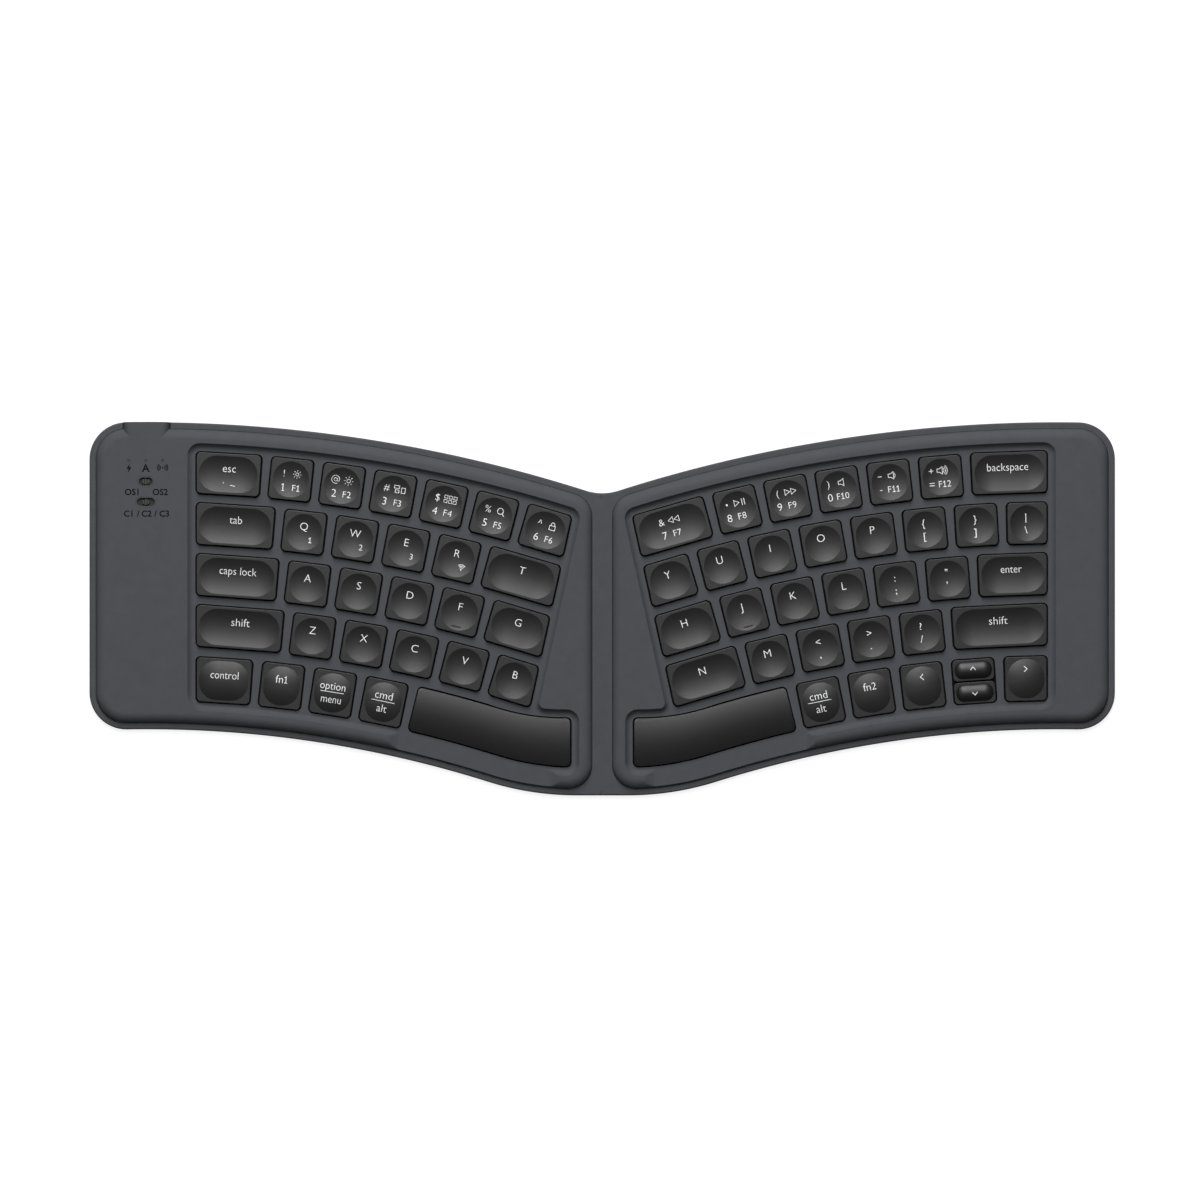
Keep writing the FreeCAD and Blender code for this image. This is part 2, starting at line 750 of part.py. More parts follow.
def foot_places():
    """Two feet along the outer end of each half, and two near the fold."""
    outer_x = -d.half_width + d.foot_inset
    inner_x = CREASE_X - d.foot_inset
    places = []
    for x in (outer_x, inner_x):
        reach = x - BOW[0]
        rear = BOW[1] + math.sqrt(d.rear_radius**2 - reach**2) - d.foot_inset
        front = BOW[1] + math.sqrt(d.front_radius**2 - reach**2) + d.foot_inset
        places += [(x, rear), (x, front)]
    return places


def ribbon_sides(start, end, clearance):
    width = d.ribbon_width + 2 * clearance
    return outline(block((start + end) / 2, 0, abs(end - start), width), 0, (start, 0))


def build_cover(side):
    """One half of the soft cover: a flange round a shallow recess for the housing."""
    label = "cover_" + side
    cover = new_body(label)
    whole = new_sketch(cover, label + "_outline", mirrored(cover_edges(), side), "sizes.foot_height")
    pad(cover, whole, "sizes.cover_rim", label + "_slab")
    recess = mirrored(panel_edges(-d.seat_clearance), side)
    depth = "sizes.cover_rim - sizes.cover_floor"
    bed = new_sketch(cover, label + "_recess", recess, "sizes.flange_top")
    pocket(cover, bed, depth, label + "_bed")
    if side == "left":
        rear = BOW[1] + d.rear_radius
        width = d.boss_width + 2 * d.seat_clearance
        gap_edges = outline(block(-d.controls_x, rear, width, 4 * d.flange_width), 0, (0, rear))
        mouth = new_sketch(cover, label + "_boss_gap", gap_edges, "sizes.flange_top")
        pocket(cover, mouth, depth, label + "_boss_cut")
    inner = PANEL_INNER_X - d.housing_wall
    notch = mirrored(ribbon_sides(inner, CREASE_X, d.ribbon_clearance), side)
    tail = new_sketch(cover, label + "_tail", notch, "sizes.plate_top - sizes.ribbon_clearance")
    depth = "sizes.ribbon_thickness + 2 * sizes.ribbon_clearance"
    pocket(cover, tail, depth, label + "_notch", upward=True)
    seats = []
    for x, y in foot_places():
        seats += mapped(polygon(d.foot_radius, FOOT_SIDES), lambda p: (p[0] + x, p[1] + y))
    seating = new_sketch(cover, label + "_feet", mirrored(seats, side), "sizes.foot_height")
    pocket(cover, seating, "sizes.foot_seat", label + "_foot_seats", upward=True)
    keep(cover)
    pads = []
    for i, (x, y) in enumerate(foot_places(), 1):
        foot = doc.addObject("Part::Prism", f"foot_{side}_{i}")
        foot.Polygon = FOOT_SIDES
        foot.setExpression("Circumradius", "sizes.foot_radius")
        foot.setExpression("Height", "sizes.foot_height + sizes.foot_seat")
        foot.Placement.Base = FreeCAD.Vector(x if side == "left" else -x, y, 0)
        pads.append(foot)
    keep(compound("feet_" + side, pads))


def build_spine():
    """The middle strip of the cover, with a channel through it for the flexible cable."""
    spine = new_body("cover_spine")
    strip = new_sketch(spine, "spine_outline", spine_edges(), "sizes.foot_height")
    pad(spine, strip, "sizes.cover_rim", "spine_slab")
    half = d.spine_width / 2 - d.crease_gap
    low = d.plate_top - d.ribbon_clearance
    high = d.plate_top + d.ribbon_thickness + d.ribbon_clearance
    half_ribbon = d.ribbon_width / 2 + d.ribbon_clearance
    section = outline(
        block(0, (low + high) / 2, 2 * half_ribbon, high - low), 0, (0, low)
    )
    channel = new_sketch(spine, "spine_section", section, "0", "YZ_Plane")
    pocket_across(spine, channel, "2 * sizes.spine_width", "spine_channel")
    keep(spine)
    ribbon = doc.addObject("Part::Box", "ribbon_cable")
    ribbon.Label = "ribbon_cable"
    ribbon.setExpression("Length", "sizes.spine_width - 2 * sizes.crease_gap")
    ribbon.setExpression("Width", "sizes.ribbon_width")
    ribbon.setExpression("Height", "sizes.ribbon_thickness")
    ribbon.Placement.Base = FreeCAD.Vector(-half, -d.ribbon_width / 2, d.plate_top)
    keep(ribbon)


# Housing


def well_sides(side):
    """The block of keys that the well surrounds."""
    radius = row_radius(THUMB_ROW)
    gap = radius - d.thumb_key_depth / 2 - d.front_radius
    return [
        straight(-d.space_end_x, 0, 90),
        space_rear_bend(),
        slant(),
        bow(row_radius(1) + d.key_depth / 2, 1),
        outer_end(side),
        bow(radius - d.thumb_key_depth / 2, -1),
        front_bend(gap),
    ]


WELL_RADII = [1.2, 1.2, 5.3, 1.0, 1.0, 2.7, 0]


def well_edges(side, margin):
    return mirrored(outline(well_sides(side), WELL_RADII, MIDDLE, -margin), side)


def thumb_cut_edges(slope):
    """The gap in the rim ahead of the space bar, longer at the top by its slopes."""
    outer = -d.thumb_cut_outer - slope
    inner = -d.thumb_cut_inner + slope
    radius = row_radius(THUMB_ROW)
    swing = math.asin((outer - BOW[0]) / radius)
    past = FRONT_Y - d.flange_width
    sides = [
        straight(inner, 0, 90),
        Straight(inner, -d.space_rear_y - d.thumb_key_depth / 2, -math.cos(swing), math.sin(swing)),
        straight(outer, 0, -90),
        straight(0, past, 0),
    ]
    return outline(sides, 0, (inner, past))


def slot_edges(y, travel, extra=0.0):
    """A slot with round ends, long enough for the knob and its travel."""
    length = travel + d.knob_length + 2 * d.knob_clearance + 2 * extra
    width = d.slot_width + 2 * extra
    middle = (-d.controls_x, y)
    return outline(block(*middle, length, width), width * d.slot_bevel, middle, bevelled=True)


def lamp_places():
    return [(-d.controls_x + i * d.lamp_pitch, d.lamp_y) for i in (-1, 0, 1)]


def lamp_edges(clearance):
    edges = []
    for x, y in lamp_places():
        pipe = polygon(d.lamp_radius + clearance, PIPE_SIDES)
        edges += mapped(pipe, lambda p: (p[0] + x, p[1] + y))
    return edges


def quarter_round():
    """Steps inward and upward along the rounded edge of the housing."""
    turns = [math.pi / 2 * i / EDGE_STEPS for i in range(EDGE_STEPS + 1)]
    return [(d.edge_round * (1 - math.cos(a)), d.edge_round * math.sin(a)) for a in turns]


def boss_section():
    """Section of the raised block round the port, with the rounded edge of the housing."""
    half = d.boss_width / 2
    middle = -d.controls_x
    shoulder = d.panel_top - d.edge_round
    right = [(middle + half - inset, shoulder + rise) for inset, rise in quarter_round()]
    left = [(2 * middle - x, z) for x, z in reversed(right)]
    points = right + left
    points += [(middle - half, d.recess_floor), (middle + half, d.recess_floor)]
    return [Segment(points[i - 1], points[i]) for i in range(len(points))]


def port_edges(clearance, level):
    """The flat round-ended section of the charging port, seen from the rear."""
    width = d.port_width + 2 * clearance
    height = d.port_height + 2 * clearance
    middle = (-d.controls_x, level + d.port_height / 2)
    return outline(block(*middle, width, height), height * d.port_bevel, middle, bevelled=True)


def build_housing(side, keys):
    """The upper housing: rounded panel, sunken key well with an opening for each key."""
    label = "top_frame_" + side
    left = side == "left"
    housing = new_body(label)
    form = mirrored(panel_edges(), side)
    base = new_sketch(housing, label + "_outline", form, "sizes.recess_floor")
    pad(housing, base, "sizes.panel_top - sizes.edge_round - sizes.recess_floor", label + "_slab")
    rings = []
    for inset, rise in quarter_round():
        ring = mirrored(panel_edges(inset), side)
        level = f"sizes.panel_top - sizes.edge_round + {rise}"
        rings.append(new_sketch(housing, f"{label}_ring_{len(rings)}", ring, level))
    loft(housing, "AdditiveLoft", rings[0], rings[1:], label + "_quarter_round")
    if left:
        section = new_sketch(housing, label + "_boss_section", boss_section(), REAR, "XZ_Plane")
        pad(housing, section, "sizes.flange_width + 2 * sizes.edge_round", label + "_boss")
    foot = new_sketch(
        housing, label + "_well_foot", well_edges(side, d.bay_margin - d.bay_wall_run), "sizes.deck_top"
    )
    brim = new_sketch(housing, label + "_well_brim", well_edges(side, d.bay_margin), "sizes.panel_top")
    loft(housing, "SubtractiveLoft", foot, [brim], label + "_well")
    low = new_sketch(housing, label + "_thumb_low", mirrored(thumb_cut_edges(0), side), "sizes.deck_top")
    high = new_sketch(
        housing,
        label + "_thumb_high",
        mirrored(thumb_cut_edges(d.thumb_cut_slope), side),
        "sizes.panel_top",
    )
    loft(housing, "SubtractiveLoft", low, [high], label + "_thumb_cut")
    cavity = new_sketch(
        housing, label + "_cavity", mirrored(panel_edges(d.housing_wall), side), "sizes.recess_floor"
    )
    height = "sizes.deck_under - sizes.recess_floor"
    pocket(housing, cavity, height, label + "_underside", upward=True)
    holes = []
    for key in keys:
        if key.label == "key_arrow_down":
            continue
        if key.label == "key_arrow_up":
            key = square_key("pair", THUMB_ROW, THUMB_FIRST - d.key_pitch)
        holes += mirrored(key_edges(key, -d.key_gap, False), side)
    openings = new_sketch(housing, label + "_openings", holes, "sizes.deck_top")
    pocket(housing, openings, "sizes.deck_thickness", label + "_key_openings")
    wall_x = (PANEL_INNER_X, PANEL_INNER_X - d.housing_wall)
    notch = mirrored(ribbon_sides(*wall_x, d.ribbon_clearance), side)
    tail = new_sketch(housing, label + "_tail", notch, "sizes.recess_floor")
    rise = "sizes.plate_top + sizes.ribbon_thickness + sizes.ribbon_clearance - sizes.recess_floor"
    pocket(housing, tail, rise, label + "_tail_notch", upward=True)
    if left:
        cut_left_end(housing, label)
    keep(housing)


def cut_left_end(housing, label):
    """The blank end of the left housing: battery room, port, lights and switch slots."""
    deep = d.edge_round + d.room_margin
    room = [
        straight(-d.room_inner_x, 0, 90),
        bow(d.rear_radius - d.flange_width - deep, 1),
        straight(-d.room_outer_x, 0, -90),
        bow(d.front_radius + d.flange_width + deep, -1),
    ]
    corner_round = d.corner_radius - d.flange_width - deep
    radii = [0, 0, corner_round, corner_round]
    room_edges = outline(room, radii, (-d.room_inner_x, 0))
    cell = new_sketch(housing, label + "_room", room_edges, "sizes.recess_floor")
    pocket(housing, cell, "sizes.skin_under - sizes.recess_floor", label + "_battery_room", upward=True)
    mouth = new_sketch(
        housing,
        label + "_mouth",
        port_edges(d.port_clearance, d.circuit_top),
        REAR,
        "XZ_Plane",
    )
    depth = "sizes.port_length + sizes.port_setback + sizes.port_clearance"
    pocket(housing, mouth, depth, label + "_port", upward=True)
    top_cuts = slot_edges(d.mode_switch_y, d.mode_travel)
    top_cuts += slot_edges(d.system_switch_y, d.system_travel)
    top_cuts += lamp_edges(d.lamp_clearance)
    slots = new_sketch(housing, label + "_slots", top_cuts, "sizes.panel_top")
    pocket(housing, slots, "sizes.skin_thickness", label + "_controls")


# Inside


def build_layers(side):
    """The steel plate and the circuit sheet on it, which fill the housing from below."""
    inset = d.housing_wall + d.plate_clearance
    form = mirrored(panel_edges(inset, bevelled=True), side)
    plate = new_body("base_plate_" + side)
    flat = new_sketch(plate, f"plate_{side}_outline", form, "sizes.recess_floor")
    pad(plate, flat, "sizes.plate_thickness", f"plate_{side}_sheet")
    keep(plate)
    circuit = new_body("circuit_sheet_" + side)
    film = new_sketch(circuit, f"film_{side}_outline", form, "sizes.plate_top")
    pad(circuit, film, "sizes.circuit_thickness", f"film_{side}_sheet")
    tail = mirrored(ribbon_sides(PANEL_INNER_X - 2 * inset, CREASE_X, 0), side)
    strip = new_sketch(circuit, f"film_{side}_tail_outline", tail, "sizes.plate_top")
    pad(circuit, strip, "sizes.ribbon_thickness", f"film_{side}_tail")
    keep(circuit)


HALF_KEY_SHARE = 0.5


def dome_pattern(label, share):
    """A rubber dome: a low tapered cup between the circuit sheet and the keycap."""
    dome = doc.addObject("Part::Wedge", label + "_cup")
    foot = f"sizes.dome_base * {share}"
    tip = f"sizes.dome_tip * {share}"
    for axis, reach in (("Xmin", "-" + foot), ("Xmax", foot), ("Zmin", "-" + foot), ("Zmax", foot)):
        dome.setExpression(axis, reach)
    for axis, reach in (("X2min", "-" + tip), ("X2max", tip), ("Z2min", "-" + tip), ("Z2max", tip)):
        dome.setExpression(axis, reach)
    dome.Ymin = 0
    dome.setExpression("Ymax", "sizes.key_ceiling - sizes.dome_clearance - sizes.circuit_top")
    dome.Placement = FreeCAD.Placement(
        FreeCAD.Vector(0, 0, d.circuit_top), FreeCAD.Rotation(FreeCAD.Vector(1, 0, 0), 90)
    )
    return compound(label, [dome])


def link_frame(label, width, length, lean):
    """A flat ring of a scissor link, leaning from the circuit sheet up to the keycap."""
    outer = doc.addObject("Part::Box", label + "_outer")
    inner = doc.addObject("Part::Box", label + "_inner")
    for box, inset in ((outer, 0.0), (inner, d.link_bar)):
        box.Length = width - 2 * inset
        box.Width = length - 2 * inset
        box.setExpression("Height", "sizes.link_thickness")
        box.Placement.Base = FreeCAD.Vector(
            -box.Length.Value / 2, -box.Width.Value / 2, -d.link_thickness / 2
        )
    frame = doc.addObject("Part::Cut", label)
    frame.Base = outer
    frame.Tool = inner
    rise = d.key_ceiling - d.circuit_top - 2 * d.dome_clearance - d.link_thickness
    tilt = lean * math.degrees(math.atan(rise / length))
    middle = (d.key_ceiling + d.circuit_top) / 2
    frame.Placement = FreeCAD.Placement(
        FreeCAD.Vector(0, 0, middle), FreeCAD.Rotation(FreeCAD.Vector(1, 0, 0), tilt)
    )
    return frame


def link_pattern(label, width, length):
    inner_width = width - 2 * d.link_bar - 2 * d.link_side_gap
    pair = [
        link_frame(label + "_wide", width, length, 1),
        link_frame(label + "_narrow", inner_width, length, -1),
    ]
    return compound(label, pair)


def build_key_supports(keys_by_side):
    dome = dome_pattern("dome_pattern", 1.0)
    small_dome = dome_pattern("small_dome_pattern", HALF_KEY_SHARE)
    links = link_pattern("link_pattern", d.link_width, d.link_length)
    small_links = link_pattern("small_link_pattern", d.link_width, d.link_length * HALF_KEY_SHARE)
    for side, keys in keys_by_side.items():
        domes = []
        scissors = []
        for key in keys:
            low = key.label in ("key_arrow_up", "key_arrow_down")
            place = standard_place(key, side)
            domes.append(copy_of(small_dome if low else dome, *place, "dome_" + key.label))
            scissors.append(copy_of(small_links if low else links, *place, "links_" + key.label))
        keep(compound("rubber_domes_" + side, domes))
        keep(compound("scissor_links_" + side, scissors))


def build_electronics():
    board = new_body("main_board")
    middle_x = -d.room_middle
    rear_y = d.overall_depth / 2 - d.port_setback - d.port_length - d.port_seat
    middle_y = (d.board_front_y + rear_y) / 2
    board_sides = block(middle_x, middle_y, d.board_width, rear_y - d.board_front_y)
    flat = outline(board_sides, 0, (middle_x, middle_y))
    sketch = new_sketch(board, "board_outline", flat, "sizes.circuit_top")
    pad(board, sketch, "sizes.board_thickness", "board_blank")
    chips = []
    for x, y in lamp_places():
        chips += outline(block(x, y, 2 * d.lamp_radius, 2 * d.lamp_radius), 0, (x, y))
    lamps = new_sketch(board, "board_lamps", chips, "sizes.board_top")
    pad(board, lamps, "sizes.slider_plate", "board_lamp_chips")
    keep(board)

    battery = doc.addObject("Part::Box", "battery_block")
    battery.setExpression("Length", "sizes.battery_width")
    battery.setExpression("Width", "sizes.battery_length")
    battery.setExpression("Height", "sizes.battery_height")
    battery.Placement.Base = FreeCAD.Vector(
        middle_x - d.battery_width / 2, d.battery_y - d.battery_length / 2, d.circuit_top
    )
    doc.recompute()
    cell = doc.addObject("Part::Chamfer", "battery")
    cell.Label = "battery"
    cell.Base = battery
    cell.Edges = [
        (i, d.battery_bevel, d.battery_bevel)
        for i, edge in enumerate(battery.Shape.Edges, 1)
        if abs(edge.Length - d.battery_length) < 1e-6
    ]
    keep(cell)

    port = new_body("usb_c_port")
    mouth = REAR + " + sizes.port_setback"
    shell = new_sketch(port, "port_shell", port_edges(0, d.circuit_top), mouth, "XZ_Plane")
    pad(port, shell, "sizes.port_length", "port_block")
    bore = new_sketch(port, "port_bore", port_edges(-d.port_wall, d.circuit_top), mouth, "XZ_Plane")
    pocket(port, bore, "sizes.port_reach", "port_mouth", upward=True)
    middle_z = d.circuit_top + d.port_height / 2
    tongue_sides = block(-d.controls_x, middle_z, d.tongue_width, d.tongue_height)
    tongue = outline(tongue_sides, 0, (-d.controls_x, middle_z))
    set_back = mouth + " + sizes.tongue_setback"
    blade = new_sketch(port, "port_tongue", tongue, set_back, "XZ_Plane")
    pad(port, blade, "sizes.port_reach - sizes.tongue_setback", "port_blade")
    keep(port)

    guide = new_body("indicator_lights")
    bar_length = 2 * d.lamp_pitch + d.guide_width
    bar_sides = block(-d.controls_x, d.lamp_y, bar_length, d.guide_width)
    bar = outline(bar_sides, 0, (-d.controls_x, d.lamp_y))
    strip = new_sketch(guide, "guide_outline", bar, "sizes.board_top + sizes.slider_plate")
    pad(guide, strip, "sizes.guide_height", "guide_bar")
    pins = new_sketch(guide, "guide_pins", lamp_edges(0), "sizes.board_top + sizes.slider_plate")
    reach = "sizes.panel_top - sizes.lamp_setback - sizes.board_top - sizes.slider_plate"
    pad(guide, pins, reach, "guide_pipes")
    keep(guide)


def build_slider(label, y):
    """A switch slider in the middle of its travel: plate below the slot, ridged knob in it."""
    slider = new_body(label)
    x = -d.controls_x
    plate_edges = outline(
        block(x, y, d.knob_length + 2 * d.slider_foot, d.slot_width + 2 * d.slider_foot), 0, (x, y)
    )
    low = "sizes.skin_under - sizes.slider_plate - sizes.ribbon_clearance"
    plate = new_sketch(slider, label + "_plate_outline", plate_edges, low)
    pad(slider, plate, "sizes.slider_plate", label + "_plate")
    depth = d.slot_width - 2 * d.knob_clearance
    knob_edges = outline(block(x, y, d.knob_length, depth), d.knob_corner, (x, y), bevelled=True)
    knob = new_sketch(slider, label + "_knob_outline", knob_edges, low)
    height = "sizes.skin_thickness - sizes.knob_setback + sizes.slider_plate + sizes.ribbon_clearance"
    pad(slider, knob, height + " - sizes.knob_ridge", label + "_knob")
    ridges = []
    for step in (-1, 1):
        at = x + step * d.knob_length / 4
        ridges += outline(block(at, y, d.knob_ridge, depth - 2 * d.knob_ridge), 0, (at, y))
    grip = new_sketch(slider, label + "_ridge_outline", ridges, low)
    pad(slider, grip, height, label + "_ridges")
    keep(slider)


def build_switches():
    bodies = []
    for name, y, travel in (
        ("mode", d.mode_switch_y, d.mode_travel),
        ("system", d.system_switch_y, d.system_travel),
    ):
        build_slider(name + "_slider", y)
        case = doc.addObject("Part::Box", name + "_switch_case")
        case.Length = travel + d.knob_length + 2 * d.slider_foot
        case.setExpression("Width", "sizes.switch_body_width")
        case.setExpression("Height", "sizes.switch_body_height")
        case.Placement.Base = FreeCAD.Vector(
            -d.controls_x - case.Length.Value / 2, y - d.switch_body_width / 2, d.board_top
        )
        bodies.append(case)
    keep(compound("switch_bodies", bodies))


def check_document():
    doc.recompute()
    for item in doc.Objects:
        if "Invalid" in item.State or "Error" in item.State:
            raise RuntimeError(f"{item.Label} failed: {item.State}")
    for node in nodes:
        if node.Shape.isNull() or not node.Shape.isValid():
            raise RuntimeError(f"{node.Label} has no valid shape")


def export_parts():
    os.makedirs("parts", exist_ok=True)
    for node in nodes:
        node.Shape.exportStep(f"parts/{node.Label}.step")


build_cover("left")
build_spine()
build_cover("right")
keys = build_keys()
for half in ("left", "right"):
    build_housing(half, keys[half])
    build_layers(half)
build_key_supports(keys)
build_electronics()
build_switches()
check_document()
export_parts()
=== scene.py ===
import cmath
import math
from collections import namedtuple
from contextlib import contextmanager
from functools import lru_cache, partial
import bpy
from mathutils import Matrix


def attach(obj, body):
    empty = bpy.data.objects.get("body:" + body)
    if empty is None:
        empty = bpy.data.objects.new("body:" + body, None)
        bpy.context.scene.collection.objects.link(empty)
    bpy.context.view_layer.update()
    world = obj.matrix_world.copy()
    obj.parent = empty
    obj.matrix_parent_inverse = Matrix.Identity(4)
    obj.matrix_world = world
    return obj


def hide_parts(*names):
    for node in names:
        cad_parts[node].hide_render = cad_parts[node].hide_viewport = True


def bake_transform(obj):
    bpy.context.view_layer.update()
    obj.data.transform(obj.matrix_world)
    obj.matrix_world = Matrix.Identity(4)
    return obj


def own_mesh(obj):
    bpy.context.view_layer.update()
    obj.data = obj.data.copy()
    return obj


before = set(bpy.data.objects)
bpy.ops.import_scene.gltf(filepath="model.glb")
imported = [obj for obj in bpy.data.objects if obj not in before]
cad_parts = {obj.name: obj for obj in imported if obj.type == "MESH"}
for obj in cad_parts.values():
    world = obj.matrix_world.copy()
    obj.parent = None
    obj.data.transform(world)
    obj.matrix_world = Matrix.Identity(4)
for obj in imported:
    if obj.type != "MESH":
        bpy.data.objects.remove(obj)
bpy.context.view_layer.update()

from types import SimpleNamespace

import bmesh
import bpy
import numpy as np
from mathutils import Vector
from mathutils.bvhtree import BVHTree
from mathutils.geometry import delaunay_2d_cdt

# Sizes in millimetres. Meshes are made in millimetres and stored in metres. A place in a plane
# is a complex number, its real part along X and its imaginary part along Y.
MM = 0.001
d = SimpleNamespace(
    bow_x=165.4,
    rear_radius=524.3,
    front_radius=412.8,
    front_drop=24.0,
    half_width=186.1,
    corner_radius=13.4,
    valley_radius=19.2,
    bend_radius=107.0,
    flange_width=2.4,
    spine_width=6.7,
    crease_clearance=0.3,
    inner_corner_radius=8.7,
    edge_run=3.75,
    edge_lean=80.0,
    housing_wall=1.6,
    bay_margin=3.4,
    bay_wall_run=2.3,
    bay_wall_power=2.3,
    key_pitch=18.7,
    row_pitch=18.5,
    thumb_row_pitch=19.35,
    home_row_radius=469.2,
    key_width=14.64,
    key_depth=14.55,
    thumb_key_depth=15.65,
    key_corner=1.35,
    key_gap=0.85,
    left_keys_edge=146.85,
    right_keys_edge=161.0,
    slant_angle=12.4,
    slant_x=18.7,
    space_end_x=11.75,
    space_rear_y=39.9,
    space_bend_radius=79.0,
    thumb_cut_outer=73.6,
    thumb_cut_inner=19.3,
    thumb_cut_slope=4.4,
    boss_width=16.8,
    controls_x=165.4,
    lamp_y=53.8,
    lamp_pitch=6.1,
    mode_y=46.1,
    system_y=38.7,
    mode_slot=5.0,
    system_slot=6.6,
    slot_width=2.9,
    foot_radius=4.0,
    foot_inset=12.0,
    port_width=8.94,
    port_height=3.16,
)
Z = SimpleNamespace(
    cover=0.5,
    recess=1.3,
    circuit=2.0,
    flange=2.5,
    deck_under=3.7,
    deck=3.82,
    skin_under=4.9,
    key=5.5,
    panel=5.7,
    key_bottom=3.7,
)

SQUARE = ((-1, -1), (1, -1), (1, 1), (-1, 1))

# Outlines: closed walks with the inside on the left. Both halves are drawn as the left one.

Straight = namedtuple("Straight", "point way")
Round = namedtuple("Round", "centre radius turn")
Bend = namedtuple("Bend", "start centre radius turn end")

OVERALL_DEPTH = d.rear_radius - d.front_radius + d.front_drop
REAR_Y, FRONT_Y = OVERALL_DEPTH / 2, -OVERALL_DEPTH / 2
BOW = complex(-d.bow_x, REAR_Y - d.rear_radius)
MIDDLE = complex(-d.half_width / 2)
CREASE_X = -d.spine_width / 2
PANEL_INNER_X = CREASE_X - d.crease_clearance


def straight(point, angle):
    return Straight(complex(point), cmath.rect(1, math.radians(angle)))


def bow(radius, turn):
    return Round(BOW, radius, turn)


def inward(side, distance):
    if isinstance(side, Straight):
        return side._replace(point=side.point + 1j * side.way * distance)
    return side._replace(radius=side.radius - side.turn * distance)


def heading(side, point):
    if isinstance(side, Straight):
        return side.way
    return 1j * (point - side.centre) * side.turn / side.radius


def foot_point(side, point):
    if isinstance(side, Straight):
        return side.point + side.way * ((point - side.point) * side.way.conjugate()).real
    return side.centre + (point - side.centre) * side.radius / abs(point - side.centre)


def crossing(a, b, near):
    """Where two sides meet, nearest to a given point. Sides that only touch meet there."""
    if isinstance(a, Round) and isinstance(b, Straight):
        a, b = b, a
    if isinstance(b, Straight):
        spread = (a.way.conjugate() * b.way).imag
        return a.point + a.way * ((b.point - a.point).conjugate() * b.way).imag / spread
    if isinstance(a, Straight):
        base = foot_point(a, b.centre)
        step = a.way * math.sqrt(max(b.radius**2 - abs(base - b.centre) ** 2, 0.0))
    else:
        gap = abs(b.centre - a.centre)
        way = (b.centre - a.centre) / gap
        along = (gap**2 + a.radius**2 - b.radius**2) / (2 * gap)
        base = a.centre + way * along
        step = 1j * way * math.sqrt(max(a.radius**2 - along**2, 0.0))
    return min(base + step, base - step, key=lambda p: abs(p - near))


def corner(before, after, radius, inset, near):
    point = crossing(before, after, near)
    swing = (heading(before, point).conjugate() * heading(after, point)).imag
    turn = 1 if swing > 0 else -1
    if radius == 0 or radius < turn * inset + 0.01 or abs(swing) < 0.01:
        return Bend(point, None, 0.0, turn, point)
    radius -= turn * inset
    centre = crossing(inward(before, turn * radius), inward(after, turn * radius), point)
    return Bend(foot_point(before, centre), centre, radius, turn, foot_point(after, centre))


def arc_points(centre, start, end, turn, count):
    """Points along an arc, its end left out."""
    # A sweep that is nearly a full turn is one of nothing, spoilt by rounding.
    sweep = (cmath.phase(end - centre) - cmath.phase(start - centre)) * turn % (2 * math.pi)
    if sweep > 1.9 * math.pi:
        sweep = 0.0
    return list(centre + (start - centre) * np.exp(1j * turn * sweep * np.arange(count) / count))


def walk(sides, radii, near, inset=0.0, plan=None, step=1.0, arc=10, pinch=None):
    """The points of an outline, with the plan of counts that keeps insets of it in step."""
    sides = [inward(side, inset) for side in sides]
    if isinstance(radii, (int, float)):
        radii = [radii] * len(sides)
    bends = [corner(sides[i - 1], sides[i], radii[i], inset, near) for i in range(len(sides))]
    if pinch is not None:
        # The side at this index vanishes where its neighbours already meet.
        after = bends[pinch + 1]
        if after.centre is not None and after.start.real > bends[pinch].end.real:
            rounding = Round(after.centre, after.radius, 1)
            point = crossing(sides[pinch - 1], rounding, bends[pinch].end)
            bends[pinch] = bends[pinch]._replace(start=point, end=point)
            bends[pinch + 1] = after._replace(start=point)
    points, counts, spans = [], [], []
    for i, side in enumerate(sides):
        bend, finish = bends[i], bends[(i + 1) % len(sides)].start
        if plan:
            n_corner, n_side = plan[i]
        else:
            n_corner = 0 if bend.centre is None else arc
            n_side = max(1, math.ceil(abs(finish - bend.end) / step))
        counts.append((n_corner, n_side))
        if bend.centre is None or not n_corner:
            points += [bend.start] * n_corner
        else:
            points += arc_points(bend.centre, bend.start, bend.end, bend.turn, n_corner)
        spans.append(len(points))
        if isinstance(side, Straight):
            points += [bend.end + (finish - bend.end) * k / n_side for k in range(n_side)]
        else:
            points += arc_points(side.centre, bend.end, finish, side.turn, n_side)
    return np.array(points), counts, spans


def tablet(middle, width, depth, radius, inset=0.0, plan=None, **counts):
    """The walk round a rectangle with round corners."""
    sides = [
        straight(middle + width / 2, 90),
        straight(middle + depth / 2 * 1j, 180),
        straight(middle - width / 2, -90),
        straight(middle - depth / 2 * 1j, 0),
    ]
    return walk(sides, radius, middle, inset, plan, **counts)


def levels(outline, steps, base=0.0):
    """Insets of one outline with their heights, in step with the one at the inset base."""
    plan = outline(base, None)[1]
    return [(outline(inset, plan)[0], z) for inset, z in steps]


def circle(middle, radius, count=32):
    return middle + radius * np.exp(2j * math.pi * np.arange(count) / count)


def smooth(t):
    t = np.clip(t, 0.0, 1.0)
    return t * t * (3 - 2 * t)


# Meshes

# Points closer than MERGE are made one. A face is level from this share of its normal upward,
# and an edge up to this angle leads into a soft round.
MERGE = 0.004
LEVEL = 0.99999
SOFT_ANGLE = math.radians(9.0)


@contextmanager
def edited(mesh):
    """The mesh opened for an edit, which is stored when the block ends."""
    bm = bmesh.new()
    bm.from_mesh(mesh)
    yield bm
    bm.to_mesh(mesh)
    bm.free()


